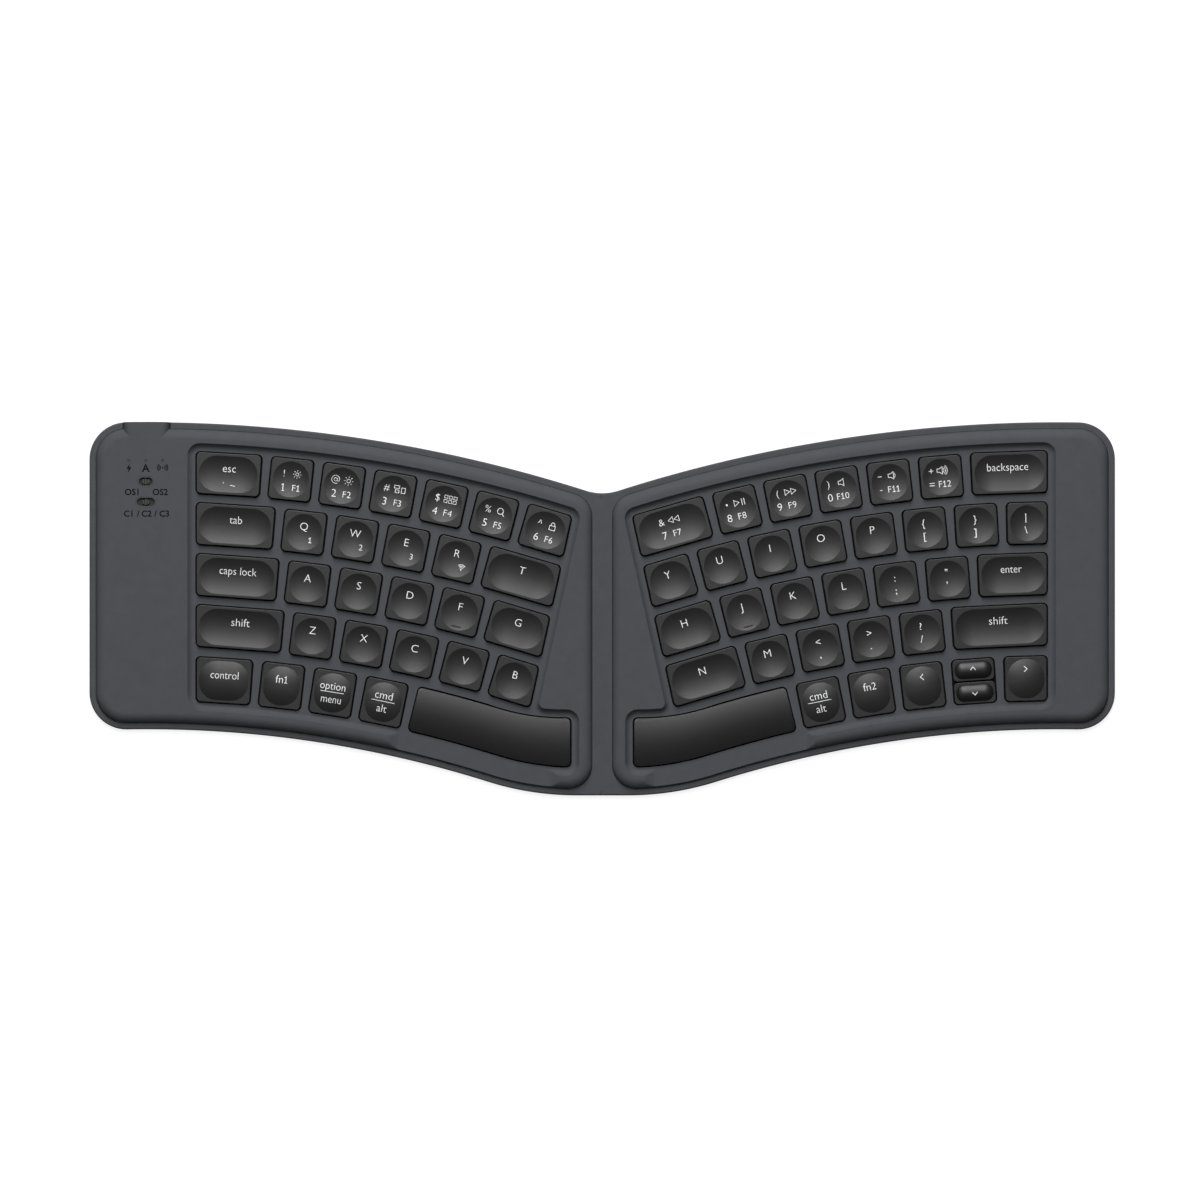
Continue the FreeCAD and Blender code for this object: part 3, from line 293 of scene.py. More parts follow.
def cut_across(bm, place, way, dist):
    everything = [*bm.verts, *bm.edges, *bm.faces]
    bmesh.ops.bisect_plane(bm, geom=everything, plane_co=place, plane_no=way, dist=dist)


class Shell:
    """Collects rings of points and the faces between them."""

    def __init__(self):
        self.points = []
        self.faces = []

    def ring(self, flat, at, upright=False):
        """A ring at a height, one for all or for each point, or upright at a place along Y."""
        first = len(self.points)
        for p, h in zip(flat, np.broadcast_to(at, len(flat))):
            self.points.append((p.real, h, p.imag) if upright else (p.real, p.imag, h))
        return list(range(first, len(self.points)))

    def join(self, rings, skip=()):
        """Faces between rings of equal counts, save at the places to skip."""
        for low, high in zip(rings, rings[1:]):
            for i in range(len(low)):
                if i not in skip:
                    j = (i + 1) % len(low)
                    self.faces.append((low[i], low[j], high[j], high[i]))
        return rings

    def tube(self, steps, skip=()):
        """A wall through level outlines, listed from its start to its end."""
        return self.join([self.ring(flat, z) for flat, z in steps], skip)

    def stack(self, steps):
        """A closed form from level outlines, listed from the lowest."""
        rings = self.tube(steps)
        self.fill([rings[-1]])
        self.fill([rings[0]], up=False)

    def fill(self, loops, up=True, axes=(0, 1)):
        """Faces over the flat region that the loops bound, holes left open."""
        index, edges = [], []
        for loop in loops:
            first = len(index)
            index += loop
            edges += [(first + i, first + (i + 1) % len(loop)) for i in range(len(loop))]
        flat = [Vector((self.points[i][axes[0]], self.points[i][axes[1]])) for i in index]
        out, _, triangles, origin, _, _ = delaunay_2d_cdt(flat, edges, [], 0, 1e-5)
        if not triangles:
            return
        spot = np.array([(p.x, p.y) for p in out])
        centre = spot[np.array([list(t) for t in triangles], int)].mean(1)
        inside = np.zeros(len(centre), bool)
        for start, end in ((flat[a], flat[b]) for a, b in edges):
            straddles = (start.y > centre[:, 1]) != (end.y > centre[:, 1])
            if straddles.any():
                slope = (end.x - start.x) / (end.y - start.y)
                inside ^= straddles & (centre[:, 0] < start.x + (centre[:, 1] - start.y) * slope)
        for keep, triangle in zip(inside, triangles):
            if keep and all(origin[v] for v in triangle):
                corners = tuple(index[origin[v][0]] for v in triangle)
                self.faces.append(corners if up else corners[::-1])

    def add(self, points, faces):
        first = len(self.points)
        self.points += points
        self.faces += [tuple(first + i for i in face) for face in faces]

    def facing(self, side):
        """The form on its own side of the keyboard: the right half mirrors the left."""
        if side == "right":
            self.points = [(-x, y, z) for x, y, z in self.points]
            self.faces = [face[::-1] for face in self.faces]
        return self

    def placed(self, name):
        """The object with its mesh in metres, as it was collected."""
        mesh = bpy.data.meshes.new(name)
        mesh.from_pydata([tuple(c * MM for c in p) for p in self.points], [], self.faces)
        made = bpy.data.objects.new(name, mesh)
        bpy.context.scene.collection.objects.link(made)
        return made

    def solid(self, name, sharp=35.0):
        """The finished object, with its rounded faces shaded smooth."""
        made = self.placed(name)
        with edited(made.data) as bm:
            bmesh.ops.remove_doubles(bm, verts=bm.verts, dist=MERGE * MM)
            bmesh.ops.dissolve_degenerate(bm, edges=bm.edges, dist=1e-7)
            loose = [v for v in bm.verts if not v.link_faces]
            bmesh.ops.delete(bm, geom=loose, context="VERTS")
        shade(made, sharp)
        keep_level_faces(made.data)
        return made


def keep_level_faces(mesh):
    """Marks the edges round level faces as sharp, save those that lead into a soft round."""
    with edited(mesh) as bm:
        bm.normal_update()
        for edge in bm.edges:
            level = [abs(face.normal.z) > LEVEL for face in edge.link_faces]
            if sorted(level) == [False, True] and edge.calc_face_angle() > SOFT_ANGLE:
                edge.smooth = False


def shade(made, sharp):
    """Smooth shading up to an angle in degrees, with normals led by the larger faces."""
    made.data.shade_smooth()
    made.data.set_sharp_from_angle(angle=math.radians(sharp))
    weigh = made.modifiers.new("weigh", "WEIGHTED_NORMAL")
    weigh.keep_sharp = True
    weigh.weight = 80


# Materials

GRAIN_SHARE = 0.6
CLOUD_SCALE = 260.0


def feed(tree, socket, value):
    """Sets an input to a value, or links it to the output of another node."""
    if isinstance(value, bpy.types.NodeSocket):
        tree.links.new(value, socket)
    else:
        socket.default_value = value


def add_node(tree, kind, inputs=None, operation=None):
    made = tree.nodes.new("ShaderNode" + kind)
    if operation:
        made.operation = operation
    for socket, value in (inputs or {}).items():
        feed(tree, made.inputs[socket], value)
    return made.outputs


def colour_ramp(tree, source, places, colours):
    output = add_node(tree, "ValToRGB", {"Fac": source})["Color"]
    for stop, place, colour in zip(output.node.color_ramp.elements, places, colours):
        stop.position = place
        stop.color = (*colour, 1.0)
    return output


def grained(tree, colour, tone, fine, bump, depth):
    """Speckled colour and a fine raised grain over a coarser unevenness."""
    place = add_node(tree, "TexCoord")["Object"]
    grain = add_node(tree, "TexNoise", {"Vector": place, "Scale": fine, "Detail": 4.0})["Fac"]
    cloud = add_node(tree, "TexNoise", {"Vector": place, "Scale": CLOUD_SCALE})["Fac"]
    rest = add_node(tree, "Math", {0: cloud, 1: 1 - GRAIN_SHARE}, "MULTIPLY")[0]
    speckle = add_node(tree, "Math", {0: grain, 1: GRAIN_SHARE, 2: rest}, "MULTIPLY_ADD")[0]
    tones = [[c * (1 + change) for c in colour] for change in (-tone, tone)]
    raised = add_node(tree, "Bump", {"Strength": bump, "Distance": depth, "Height": grain})
    shader = tree.nodes["Principled BSDF"]
    feed(tree, shader.inputs["Base Color"], colour_ramp(tree, speckle, (0.35, 0.65), tones))
    feed(tree, shader.inputs["Normal"], raised["Normal"])


def moulded(
    name, colour, roughness, tone=0.06, fine=5200.0, bump=0.25, depth=2e-5, shine=0.5, metal=0.0
):
    """A grained material. The depth of its grain is in metres."""
    made = bpy.data.materials.new(name)
    made.use_nodes = True
    inputs = made.node_tree.nodes["Principled BSDF"].inputs
    inputs["Roughness"].default_value = roughness
    inputs["Specular IOR Level"].default_value = shine
    inputs["Metallic"].default_value = metal
    grained(made.node_tree, colour, tone, fine, bump, depth)
    return made


def grey(level):
    return (level, level, level)


soft_touch = moulded("soft_touch", (0.0795, 0.0820, 0.0890), 0.65, shine=0.04)
SKIN = (0.0780, 0.0805, 0.0875)
skin = moulded("soft_skin", SKIN, 0.7, tone=0.08, fine=3600.0, bump=0.3, depth=3e-5, shine=0.05)
CAP = (0.008, 0.008, 0.0085)
cap_plastic = moulded("cap_plastic", CAP, 0.42, tone=0.04, fine=6500.0, bump=0.12, depth=1e-5)
white_ink = moulded("white_ink", (0.92, 0.93, 0.94), 0.55, tone=0.02, bump=0.05)
dark_ink = moulded("dark_ink", (0.006, 0.0065, 0.0075), 0.8, tone=0.05, bump=0.05, shine=0.05)
slider_plastic = moulded("slider_plastic", (0.066, 0.065, 0.062), 0.55, shine=0.2)
# A darker copy of the slider plastic for the plate and the knob's base: painted shade in the slot
# round the knob and between its grip ridges.
slider_painted_shade = moulded("slider_painted_shade", (0.034, 0.034, 0.033), 0.6, shine=0.15)
lens = moulded("smoked_lens", grey(0.052), 0.6, tone=0.02, bump=0.02, shine=0.1)
foot_rubber = moulded("foot_rubber", (0.022, 0.022, 0.023), 0.85, fine=2600.0, bump=0.4)
port_steel = moulded("port_steel", (0.46, 0.46, 0.47), 0.32, fine=1800.0, bump=0.06, metal=1.0)
plate_steel = moulded("plate_steel", (0.5, 0.51, 0.52), 0.4, fine=900.0, bump=0.1, metal=1.0)
# Near black and almost without shine: painted shade in the gaps round the keys, where this sheet is
# seen.
shade_black_film = moulded("circuit_film_painted_shade", (0.004, 0.004, 0.005), 0.7, fine=700.0, bump=0.05, shine=0.1)
dome_rubber = moulded("dome_rubber", grey(0.16), 0.5, fine=1500.0)
dome_shader = dome_rubber.node_tree.nodes["Principled BSDF"]
dome_shader.inputs["Transmission Weight"].default_value = 0.2
link_nylon = moulded("link_nylon", grey(0.02), 0.55, fine=2500.0)
solder_mask = moulded("solder_mask", (0.012, 0.09, 0.04), 0.35, fine=800.0, bump=0.15)
pouch_foil = moulded("pouch_foil", (0.55, 0.56, 0.58), 0.38, fine=350.0, bump=0.3, metal=1.0)
case_steel = moulded("case_steel", grey(0.5), 0.35, fine=1500.0, bump=0.08, metal=1.0)
tongue_plastic = moulded("tongue_plastic", (0.02, 0.02, 0.022), 0.45)

INNER = {
    "base_plate": plate_steel,
    # The circuit sheet's near-black colour is painted shade for the gaps round the keys.
    "circuit_sheet": shade_black_film,
    "ribbon_cable": shade_black_film,
    "main_board": solder_mask,
    "battery": pouch_foil,
    "switch_bodies": case_steel,
}


def paint(made, material):
    made.data.materials.clear()
    made.data.materials.append(material)


def dress(made, material):
    paint(made, material)
    return made


for name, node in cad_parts.items():
    for start, material in INNER.items():
        if name.startswith(start):
            paint(node, material)


# Keys

Key = namedtuple("Key", "label middle angle sides shape")


def row_radius(row):
    if row == 5:
        return row_radius(4) - d.thumb_row_pitch
    return d.home_row_radius + (3 - row) * d.row_pitch


def depth_of(row):
    return d.thumb_key_depth if row == 5 else d.key_depth


def slant():
    return straight(-d.slant_x, 90 - d.slant_angle)


def outer_end(side):
    return straight(-d.left_keys_edge if side == "left" else -d.right_keys_edge, -90)


def touching(reach, y, radius, turn):
    """A round at a height, its centre a given distance from that of the bow."""
    across = math.sqrt(reach**2 - (y - BOW.imag) ** 2)
    return Round(complex(BOW.real + across, y), radius, turn)


def front_bend(gap):
    reach = d.front_radius + d.bend_radius
    return touching(reach, FRONT_Y + d.bend_radius, d.bend_radius - gap, 1)


def space_rear_bend():
    radius = d.space_bend_radius
    reach = row_radius(5) + d.thumb_key_depth / 2 + radius
    return touching(reach, radius - d.space_rear_y, radius, -1)


def on_row(row, along, out=0.0, across=0.0):
    """A place at a distance along a row, moved away from the bow's centre and across."""
    radius = row_radius(row)
    return BOW + complex(across, radius + out) * cmath.rect(1, -along / radius)


def cell_side(row, along, toward):
    point = on_row(row, along, across=toward * d.key_width / 2)
    return straight(point, toward * 90 - math.degrees(along / row_radius(row)))


def key_between(label, row, along, inner, outer):
    angle = -math.degrees(along / row_radius(row))
    half = depth_of(row) / 2
    rear = straight(on_row(row, along, half), 180 + angle)
    front = straight(on_row(row, along, -half), angle)
    shape = "pillow" if row == 5 else "dish"
    return Key(label, on_row(row, along), angle, [inner, rear, outer, front], shape)


def square_key(label, row, along):
    return key_between(label, row, along, cell_side(row, along, 1), cell_side(row, along, -1))


def along_at(row, x):
    return row_radius(row) * math.asin((x - BOW.real) / row_radius(row))


def outer_key(label, row, first, side):
    cell = first - d.key_pitch
    start = along_at(row, outer_end(side).point.real)
    middle = (start + cell + d.key_width / 2) / 2
    return key_between(label, row, middle, cell_side(row, cell, 1), outer_end(side))


def inner_key(label, row, cell):
    end = crossing(slant(), bow(row_radius(row), 1), 0)
    middle = (cell - d.key_width / 2 + along_at(row, end.real)) / 2
    return key_between(label, row, middle, slant(), cell_side(row, cell, -1))


def half_key(label, along, toward):
    """The rear or front one of two keys that share a square in the thumb row."""
    whole = square_key(label, 5, along)
    radial = cmath.rect(1, math.radians(90 + whole.angle))
    cut = whole.middle + toward * d.key_gap / 2 * radial
    sides = list(whole.sides)
    sides[3 if toward > 0 else 1] = straight(cut, whole.angle + (0 if toward > 0 else 180))
    offset = toward * (d.thumb_key_depth + d.key_gap) / 4
    return whole._replace(middle=whole.middle + offset * radial, sides=sides, shape="pill")


def space_key(label, cell):
    radius, half = row_radius(5), d.thumb_key_depth / 2
    sides = [
        straight(-d.space_end_x, 90),
        space_rear_bend(),
        bow(radius + half, 1),
        cell_side(5, cell, -1),
        bow(radius - half, -1),
        front_bend(radius - half - d.front_radius),
    ]
    middle = (cell - d.key_width / 2 + along_at(5, -d.space_end_x)) / 2
    return key_between(label, 5, middle, None, None)._replace(sides=sides, shape="bar")


# Name, distance of the first square key, names of the square keys from the outer end, and the
# outer and inner keys of the four upper rows.
ROWS = {
    "left": (
        ("number", 52.64, "12345", "key_escape", "key_6"),
        ("upper", 57.42, "QWER", "key_tab", "key_t"),
        ("home", 58.75, "ASDF", "key_caps_lock", "key_g"),
        ("lower", 60.56, "ZXCV", "key_left_shift", "key_b"),
    ),
    "right": (
        ("number", 42.60, "=-098", "key_backspace", "key_7"),
        ("upper", 29.70, "][POIU", "key_backslash", "key_y"),
        ("home", 40.09, "';LKJ", "key_enter", "key_h"),
        ("lower", 49.45, "/.,M", "key_right_shift", "key_n"),
    ),
}
THUMB_KEYS = {
    "left": ("key_function_left", "key_option", "key_command_left"),
    "right": ("key_arrow_left", "key_function_right", "key_command_right"),
}
THUMB_FIRST = 49.25


def half_keys(side):
    """Every key of one half, each with the body that carries it."""
    found = []
    for row, (row_name, first, names, outer, inner) in enumerate(ROWS[side], 1):
        found.append((outer_key(outer, row, first, side), outer))
        for i, name in enumerate(names):
            key = square_key(name, row, first + i * d.key_pitch)
            found.append((key, f"keys_{side}_{row_name}_row"))
        found.append((inner_key(inner, row, first + len(names) * d.key_pitch), inner))
    if side == "left":
        thumb = [outer_key("key_control", 5, THUMB_FIRST, side)]
    else:
        pair = THUMB_FIRST - d.key_pitch
        thumb = [
            outer_key("key_arrow_right", 5, pair, side),
            half_key("key_arrow_up", pair, 1),
            half_key("key_arrow_down", pair, -1),
        ]
    names = THUMB_KEYS[side]
    thumb += [square_key(name, 5, THUMB_FIRST + i * d.key_pitch) for i, name in enumerate(names)]
    thumb.append(space_key("space_bar_" + side, THUMB_FIRST + len(names) * d.key_pitch))
    return found + [(key, key.label) for key in thumb]


EDGE = 0.15
CAP_GROWTH = 0.15
CAP_WALL = 0.9
SKIRT_OUT = 0.1
CAP_ROOF = 1.0
PILL_ROOF = 0.35
PILL_BEND = 0.96
MOUTH_GAP = 0.54
SIDE_GAP = 0.14
BAR_CROWN = 0.62
BAR_APEX = 0.22
BAR_PROUD = 0.06
BAR_INSETS = (0.45, 0.8, 1.4, 2.2, 3.1, 4.1, 5.1, 6.1, 7.0, d.thumb_key_depth / 2 - 0.25)
BAR_ROUND_TO = 1.2
BAR_JOINT = -40.0 - 45.0j
CROWN_SHARES = (1.0, 0.985, 0.96, 0.92, 0.86, 0.78, 0.69, 0.59, 0.48, 0.36, 0.24, 0.12, 0.0)
# The long-round middle of a keycap's top, and how far the top sinks or rises
Form = namedtuple("Form", "inset round height")
FORMS = {
    "dish": Form(inset=0.72, round=6.45, height=0.60),
    "pillow": Form(inset=0.70, round=6.3, height=0.66),
    "pill": Form(inset=0.55, round=2.9, height=1.35),
}


def drop_of(shape, share):
    """How far a top lies below its highest level, at a share of the way to its outline."""
    if shape == "dish":
        fall = 1 - share**2
    elif shape == "pillow":
        fall = share**2
    else:
        fall = (1 - math.sqrt(1 - PILL_BEND * share**2)) / (1 - math.sqrt(1 - PILL_BEND))
    return FORMS[shape].height * fall


def bar_height(key, points):
    """Height over the crown of a space bar, highest behind its middle line."""

    def away(on_bow, bend):
        joint = crossing(on_bow, bend, BAR_JOINT)
        from_bow = abs(points - on_bow.centre) - on_bow.radius
        from_bend = abs(points - bend.centre) - bend.radius
        return abs(np.where(points.real < joint.real, from_bow, from_bend))

    rear = away(key.sides[2], key.sides[1])
    front = away(key.sides[4], key.sides[5])
    across = (front - rear) / (front + rear)
    return Z.key + BAR_PROUD - BAR_CROWN * (across - BAR_APEX) ** 2


def ceiling_of(key):
    """Height of the underside of a keycap's top."""
    return Z.key - (FORMS["pill"].height + PILL_ROOF if key.shape == "pill" else CAP_ROOF)


def crown(key, plan):
    """Outlines and heights of the long-round middle of a keycap's top, from its rim inward."""
    form = FORMS[key.shape]
    edge = walk(key.sides, form.round + form.inset, key.middle, form.inset, plan)[0]
    turn = cmath.rect(1, math.radians(key.angle))
    local = (edge - key.middle) / turn
    half = (local.imag.max() - local.imag.min()) / 2
    low, high = local.real.min() + half, local.real.max() - half
    if low > high:
        low = high = (low + high) / 2
    spine = np.clip(local.real, low, high) + 1j * (local.imag.min() + half)
    return [
        (key.middle + turn * (spine + (local - spine) * share), Z.key - drop_of(key.shape, share))
        for share in CROWN_SHARES
    ]


def keycap(key):
    """One keycap's mesh, built outward in as rings from its skirt to its middle."""
    shell = Shell()
    plan = walk(key.sides, d.key_corner, key.middle, step=1.6, arc=9)[1]
    is_bar = key.shape == "bar"

    def ring(inset, drop=0.0, radius=d.key_corner, z=None):
        points = walk(key.sides, radius, key.middle, inset, plan)[0]
        if z is None:
            z = (bar_height(key, points) if is_bar else Z.key - drop_of(key.shape, 1.0)) - drop
        return shell.ring(points, z)

    inner_wall = ring(CAP_WALL, z=Z.key_bottom)
    skirt = ring(-CAP_GROWTH - SKIRT_OUT, z=Z.key_bottom)
    rings = [inner_wall, skirt, ring(-CAP_GROWTH, EDGE + 0.02)]
    for k in range(1, 6):
        a = math.pi / 2 * k / 5
        rings.append(ring(EDGE * (1 - math.cos(a)) - CAP_GROWTH, EDGE * (1 - math.sin(a))))
    if is_bar:
        for inset in BAR_INSETS:
            rings.append(ring(inset, radius=0.0 if inset > BAR_ROUND_TO else d.key_corner))
    else:
        rings.append(ring(EDGE + 0.06))
        rings += [shell.ring(points, z) for points, z in crown(key, plan)]
    shell.join(rings)
    if is_bar:
        shell.fill([rings[-1]])
    ceiling = ring(CAP_WALL, z=ceiling_of(key))
    shell.join([ceiling, inner_wall])
    shell.fill([ceiling], up=False)
    if key.label in "FJ":
        homing_bar(shell, key)
    return shell


def on_key(key, side, points):
    """Points in a key's own frame, as seen from the front, put in their place."""
    turn = cmath.rect(1, math.radians(key.angle))
    if side == "left":
        return key.middle + points * turn
    return points * turn.conjugate() - key.middle.conjugate()


# Middle, width, depth and corner
HOMING_BAR = (-5.15j, 3.4, 0.42, 0.18)
HOMING_STEPS = ((0.0, Z.key - 0.40), (0.0, Z.key + 0.02), (0.1, Z.key + 0.1))


def homing_bar(shell, key):
    """The short raised bar near the front of the hollow on the two home keys."""
    steps = levels(partial(tablet, *HOMING_BAR, step=0.6, arc=4), HOMING_STEPS)
    shell.stack([(on_key(key, "left", flat), z) for flat, z in steps])


# Legends

LETTER = 2.65
SMALL = 2.4
NAME = 2.2
WORD = 2.7
FIGURE = 2.5
EXTRA = 2.0
INK = 0.025
THIN = 0.2
LIGHT = -0.011
SIGN = -0.002
BOLD = 0.02
MARK_PITCH = 0.55
MITRE = 0.45
ABOVE_ALL = 20.0


def stroke(path, width=0.22, closed=False):
    """A flat line of even width along a path, as points of its outline or outlines."""
    path = np.array(path, complex)
    last = len(path) - 1
    left, right = [], []
    for i, spot in enumerate(path):
        before = spot - path[i - 1] if closed or i > 0 else path[i + 1] - spot
        after = path[(i + 1) % len(path)] - spot if closed or i < last else before
        before, after = before / abs(before), after / abs(after)
        bisector = (before + after) / abs(before + after)
        reach = width / 2 / max(MITRE, abs((bisector.conjugate() * before).real))
        left.append(spot + 1j * bisector * reach)
        right.append(spot - 1j * bisector * reach)
    if closed:
        return [np.array(right), np.array(left)]
    return [np.array(right + left[::-1])]


def arc_path(middle, radius, start, end, count=14):
    return middle + radius * np.exp(1j * np.radians(np.linspace(start, end, count)))


def hoop(middle, radius, width):
    return stroke(circle(middle, radius, 20), width, closed=True)


def box(middle, width, height, line=THIN):
    corners = [complex(x * width, y * height) / 2 for x, y in SQUARE]
    return stroke([middle + corner for corner in corners], line, closed=True)


def sun(reach):
    rays = np.exp(0.25j * math.pi * np.arange(8)) * reach
    return [hoop(0, reach * 0.38, 0.17), *(stroke([ray * 0.72, ray], 0.18) for ray in rays)]


def windows():
    return [
        box(-1.15 + 0.75j, 1.85, 0.95),
        box(-0.85 - 0.8j, 1.35, 0.95),
        box(1.35 - 0.25j, 1.35, 1.9),
    ]


def grid():
    return [box(complex(x, y), 1.14, 1.04, 0.17) for x in (-1.7, 0.0, 1.7) for y in (-0.8, 0.8)]


def at_sign():
    tail = (0.62 + 0.55j, 0.62 - 0.25j, 0.85 - 0.58j, 1.2 - 0.5j, 1.42)
    return [hoop(0, 0.58, 0.17), stroke([*tail, *arc_path(0, 1.45, 12, 300, 26)], 0.17)]


def magnifier():
    return [hoop(-0.2 + 0.2j, 1.08, 0.24), stroke([0.6 - 0.6j, 1.4 - 1.4j], 0.26)]


def lock():
    shackle = [-0.65 + 0.2j, *arc_path(0.7j, 0.65, 180, 0, 9), 0.65 + 0.2j]
    return [box(-0.6j, 2.1, 1.55, 0.22), stroke(shackle)]


def triangle(x, way):
    return stroke([x - way * 0.85 - 1.05j, x + way * 0.95, x - way * 0.85 + 1.05j], THIN, True)


def rewind():
    return [triangle(-1.2, -1), triangle(1.05, -1)]


def forward():
    return [triangle(-1.05, 1), triangle(1.2, 1)]


def play_pause():
    return [triangle(-1.05, 1), *(stroke([x - 1.2j, x + 1.2j], 0.24) for x in (0.95, 1.85))]


def speaker(waves):
    x = 0.9 - 0.5 * waves
    cone = (-1.9 - 0.6j, -1.1 - 0.6j, -1.3j, 1.3j, -1.1 + 0.6j, -1.9 + 0.6j)
    arcs = [stroke(arc_path(x - 0.5, 1.1 + 0.6 * k, -48, 48), THIN) for k in range(waves)]
    return [stroke([x + spot for spot in cone], THIN, closed=True), *arcs]


def fan():
    arcs = [stroke(arc_path(-0.8j, r, 48, 132, 9), 0.22) for r in (0.75, 1.3, 1.85)]
    return [*arcs, [circle(-0.8j, 0.26, 10)]]


def chevron(angle, size):
    turn = size * cmath.rect(1, math.radians(angle))
    return [stroke([turn * spot for spot in (-0.55 + 1j, 0.55, -0.55 - 1j)], 0.25)]


def dash(length):
    return [stroke([-length / 2, length / 2], 0.24)]


def plus():
    return [*dash(1.6), stroke([0.12j, 0.8j], 0.24), stroke([-0.8j, -0.12j], 0.24)]


def dot():
    return [[circle(0, 0.38, 14)]]


def rule():
    return [stroke(np.linspace(-4.3, 4.3, 9), THIN)]


def lightning():
    bolt = (0.25 + 1.6j, -0.95 - 0.2j, -0.1 - 0.2j, -0.4 - 1.6j, 0.95 + 0.35j, 0.1 + 0.35j)
    return [[np.array(bolt)]]


def radio_waves():
    parts = [[circle(0, 0.3, 12)]]
    for way in (0, 180):
        parts += [stroke(arc_path(0, r, way - 42, way + 42, 9), 0.3) for r in (0.85, 1.35, 1.85)]
    return parts


def divided(points, faces):
    """Cuts the faces of a mark small enough to lie on a curved surface."""
    bm = bmesh.new()
    made = [bm.verts.new(p) for p in points]
    for face in faces:
        if len(set(face)) > 2:
            bm.faces.new([made[i] for i in face])
    bmesh.ops.remove_doubles(bm, verts=bm.verts, dist=1e-5)
    for axis, way in enumerate(((1, 0, 0), (0, 1, 0))):
        low = math.ceil(min(p[axis] for p in points) / MARK_PITCH)
        high = math.floor(max(p[axis] for p in points) / MARK_PITCH)
        for k in range(low, high + 1):
            cut_across(bm, tuple(k * MARK_PITCH * w for w in way), way, 1e-5)
    bm.verts.index_update()
    spots = np.array([tuple(v.co) for v in bm.verts])
    kept = [tuple(v.index for v in f.verts) for f in bm.faces]
    bm.free()
    return spots, kept


def width_of(mark):
    return mark[0][:, 0].max() - mark[0][:, 0].min()


def side_by_side(*marks, gap=0.42):
    """Marks set in a line, each its own width, the whole centred."""
    line, reach = Shell(), 0.0
    for mark in marks:
        points, faces = mark
        line.add([*(points + (reach - points[:, 0].min(), 0.0, 0.0))], faces)
        reach += width_of(mark) + gap
    return np.array(line.points) - ((reach - gap) / 2, 0.0, 0.0), line.faces


def stretched(mark, width):
    points, faces = mark
    return points * (width / width_of(mark), 1.0, 1.0), faces


def figure_one(height):
    """A one with its flag and foot."""
    half = height / 2
    bar = stroke([-0.55 + (half - 0.55) * 1j, (half - 0.12) * 1j, -half * 1j], 0.26)
    foot = (0.12 - half) * 1j
    return printed([bar, stroke([foot - 0.55, foot + 0.55], 0.24)])


def figures(words, height):
    """Figures and capitals, where each one has its flag."""
    parts = [figure_one(height) if c == "1" else lettering(c, height) for c in words]
    return side_by_side(*parts, gap=0.36)


def printed(parts):
    """Flat marks as a thin closed solid: points with a level of 0 or 1, and faces."""
    shell = Shell()
    for loops in parts:
        if area(loops[0]) < 0:
            loops = [loops[0][::-1], *loops[1:]]
        low = [shell.ring(loop, 0.0) for loop in loops]
        high = [shell.ring(loop, 1.0) for loop in loops]
        for pair in zip(low, high):
            shell.join(pair)
        shell.fill(high)
        shell.fill(low, up=False)
    return divided(shell.points, shell.faces)


def area(loop):
    return (np.roll(loop, 1).conj() * loop).imag.sum() / 2


def typeset(words, size, weight):
    """Words in the plain built-in typeface, as points with a level of 0 or 1, and faces."""
    curve = bpy.data.curves.new("lettering", "FONT")
    curve.body = words
    curve.size = size
    curve.align_x = "CENTER"
    curve.extrude = 0.5
    curve.offset = weight * size
    curve.resolution_u = 3
    holder = bpy.data.objects.new("lettering", curve)
    bpy.context.scene.collection.objects.link(holder)
    mesh = bpy.data.meshes.new_from_object(holder)
    points = np.array([tuple(v.co) for v in mesh.vertices]) + (0.0, 0.0, 0.5)
    faces = [tuple(p.vertices) for p in mesh.polygons]
    bpy.data.objects.remove(holder)
    bpy.data.curves.remove(curve)
    bpy.data.meshes.remove(mesh)
    return points, faces


@lru_cache(None)
def cap_height():
    tall = typeset("H", 1.0, LIGHT)[0][:, 1]
    return float(tall.max() - tall.min())


@lru_cache(None)
def lettering(words, height, weight=LIGHT):
    """Words whose capitals are as high as given, centred on them."""
    points, faces = typeset(words, height / cap_height(), weight)
    return divided(points - (0.0, height / 2, 0.0), faces)


class Ink(Shell):
    """Marks laid on a surface, all for one body."""

    def lay(self, mark, place, surface):
        points, faces = mark
        laid = []
        for spot, level in zip(place(points[:, 0] + 1j * points[:, 1]), points[:, 2]):
            above = Vector((spot.real, spot.imag, ABOVE_ALL))
            hit = surface.ray_cast(above, Vector((0, 0, -1)))[0]
            z = hit.z if hit else Z.key
            laid.append((spot.real, spot.imag, z + (INK if level > 0.5 else -INK)))
        self.add(laid, faces)

    def solid(self, name):
        made = self.placed(name)
        with edited(made.data) as bm:
            bmesh.ops.remove_doubles(bm, verts=bm.verts, dist=1e-7)
        return made


# For each key of the number row the sign above its figure and the sign of its function
NUMBER_MARKS = {
    "1": ("!", sun(1.5)),
    "2": (at_sign(), sun(1.7)),
    "3": ("#", windows()),
    "4": ("$", grid()),
    "5": ("%", magnifier()),
    "key_6": ("^", lock()),
    "key_7": ("&", rewind()),
    "8": (dot(), play_pause()),
    "9": ("(", forward()),
    "0": (")", speaker(0)),
    "-": (dash(1.45), speaker(1)),
    "=": (plus(), speaker(3)),
}
PAIRS = {
    "]": "}",
    "[": "{",
    "'": '"',
    ";": ":",
    "/": "?",
    ".": ">",
    ",": "<",
    "key_backslash": "|",
}
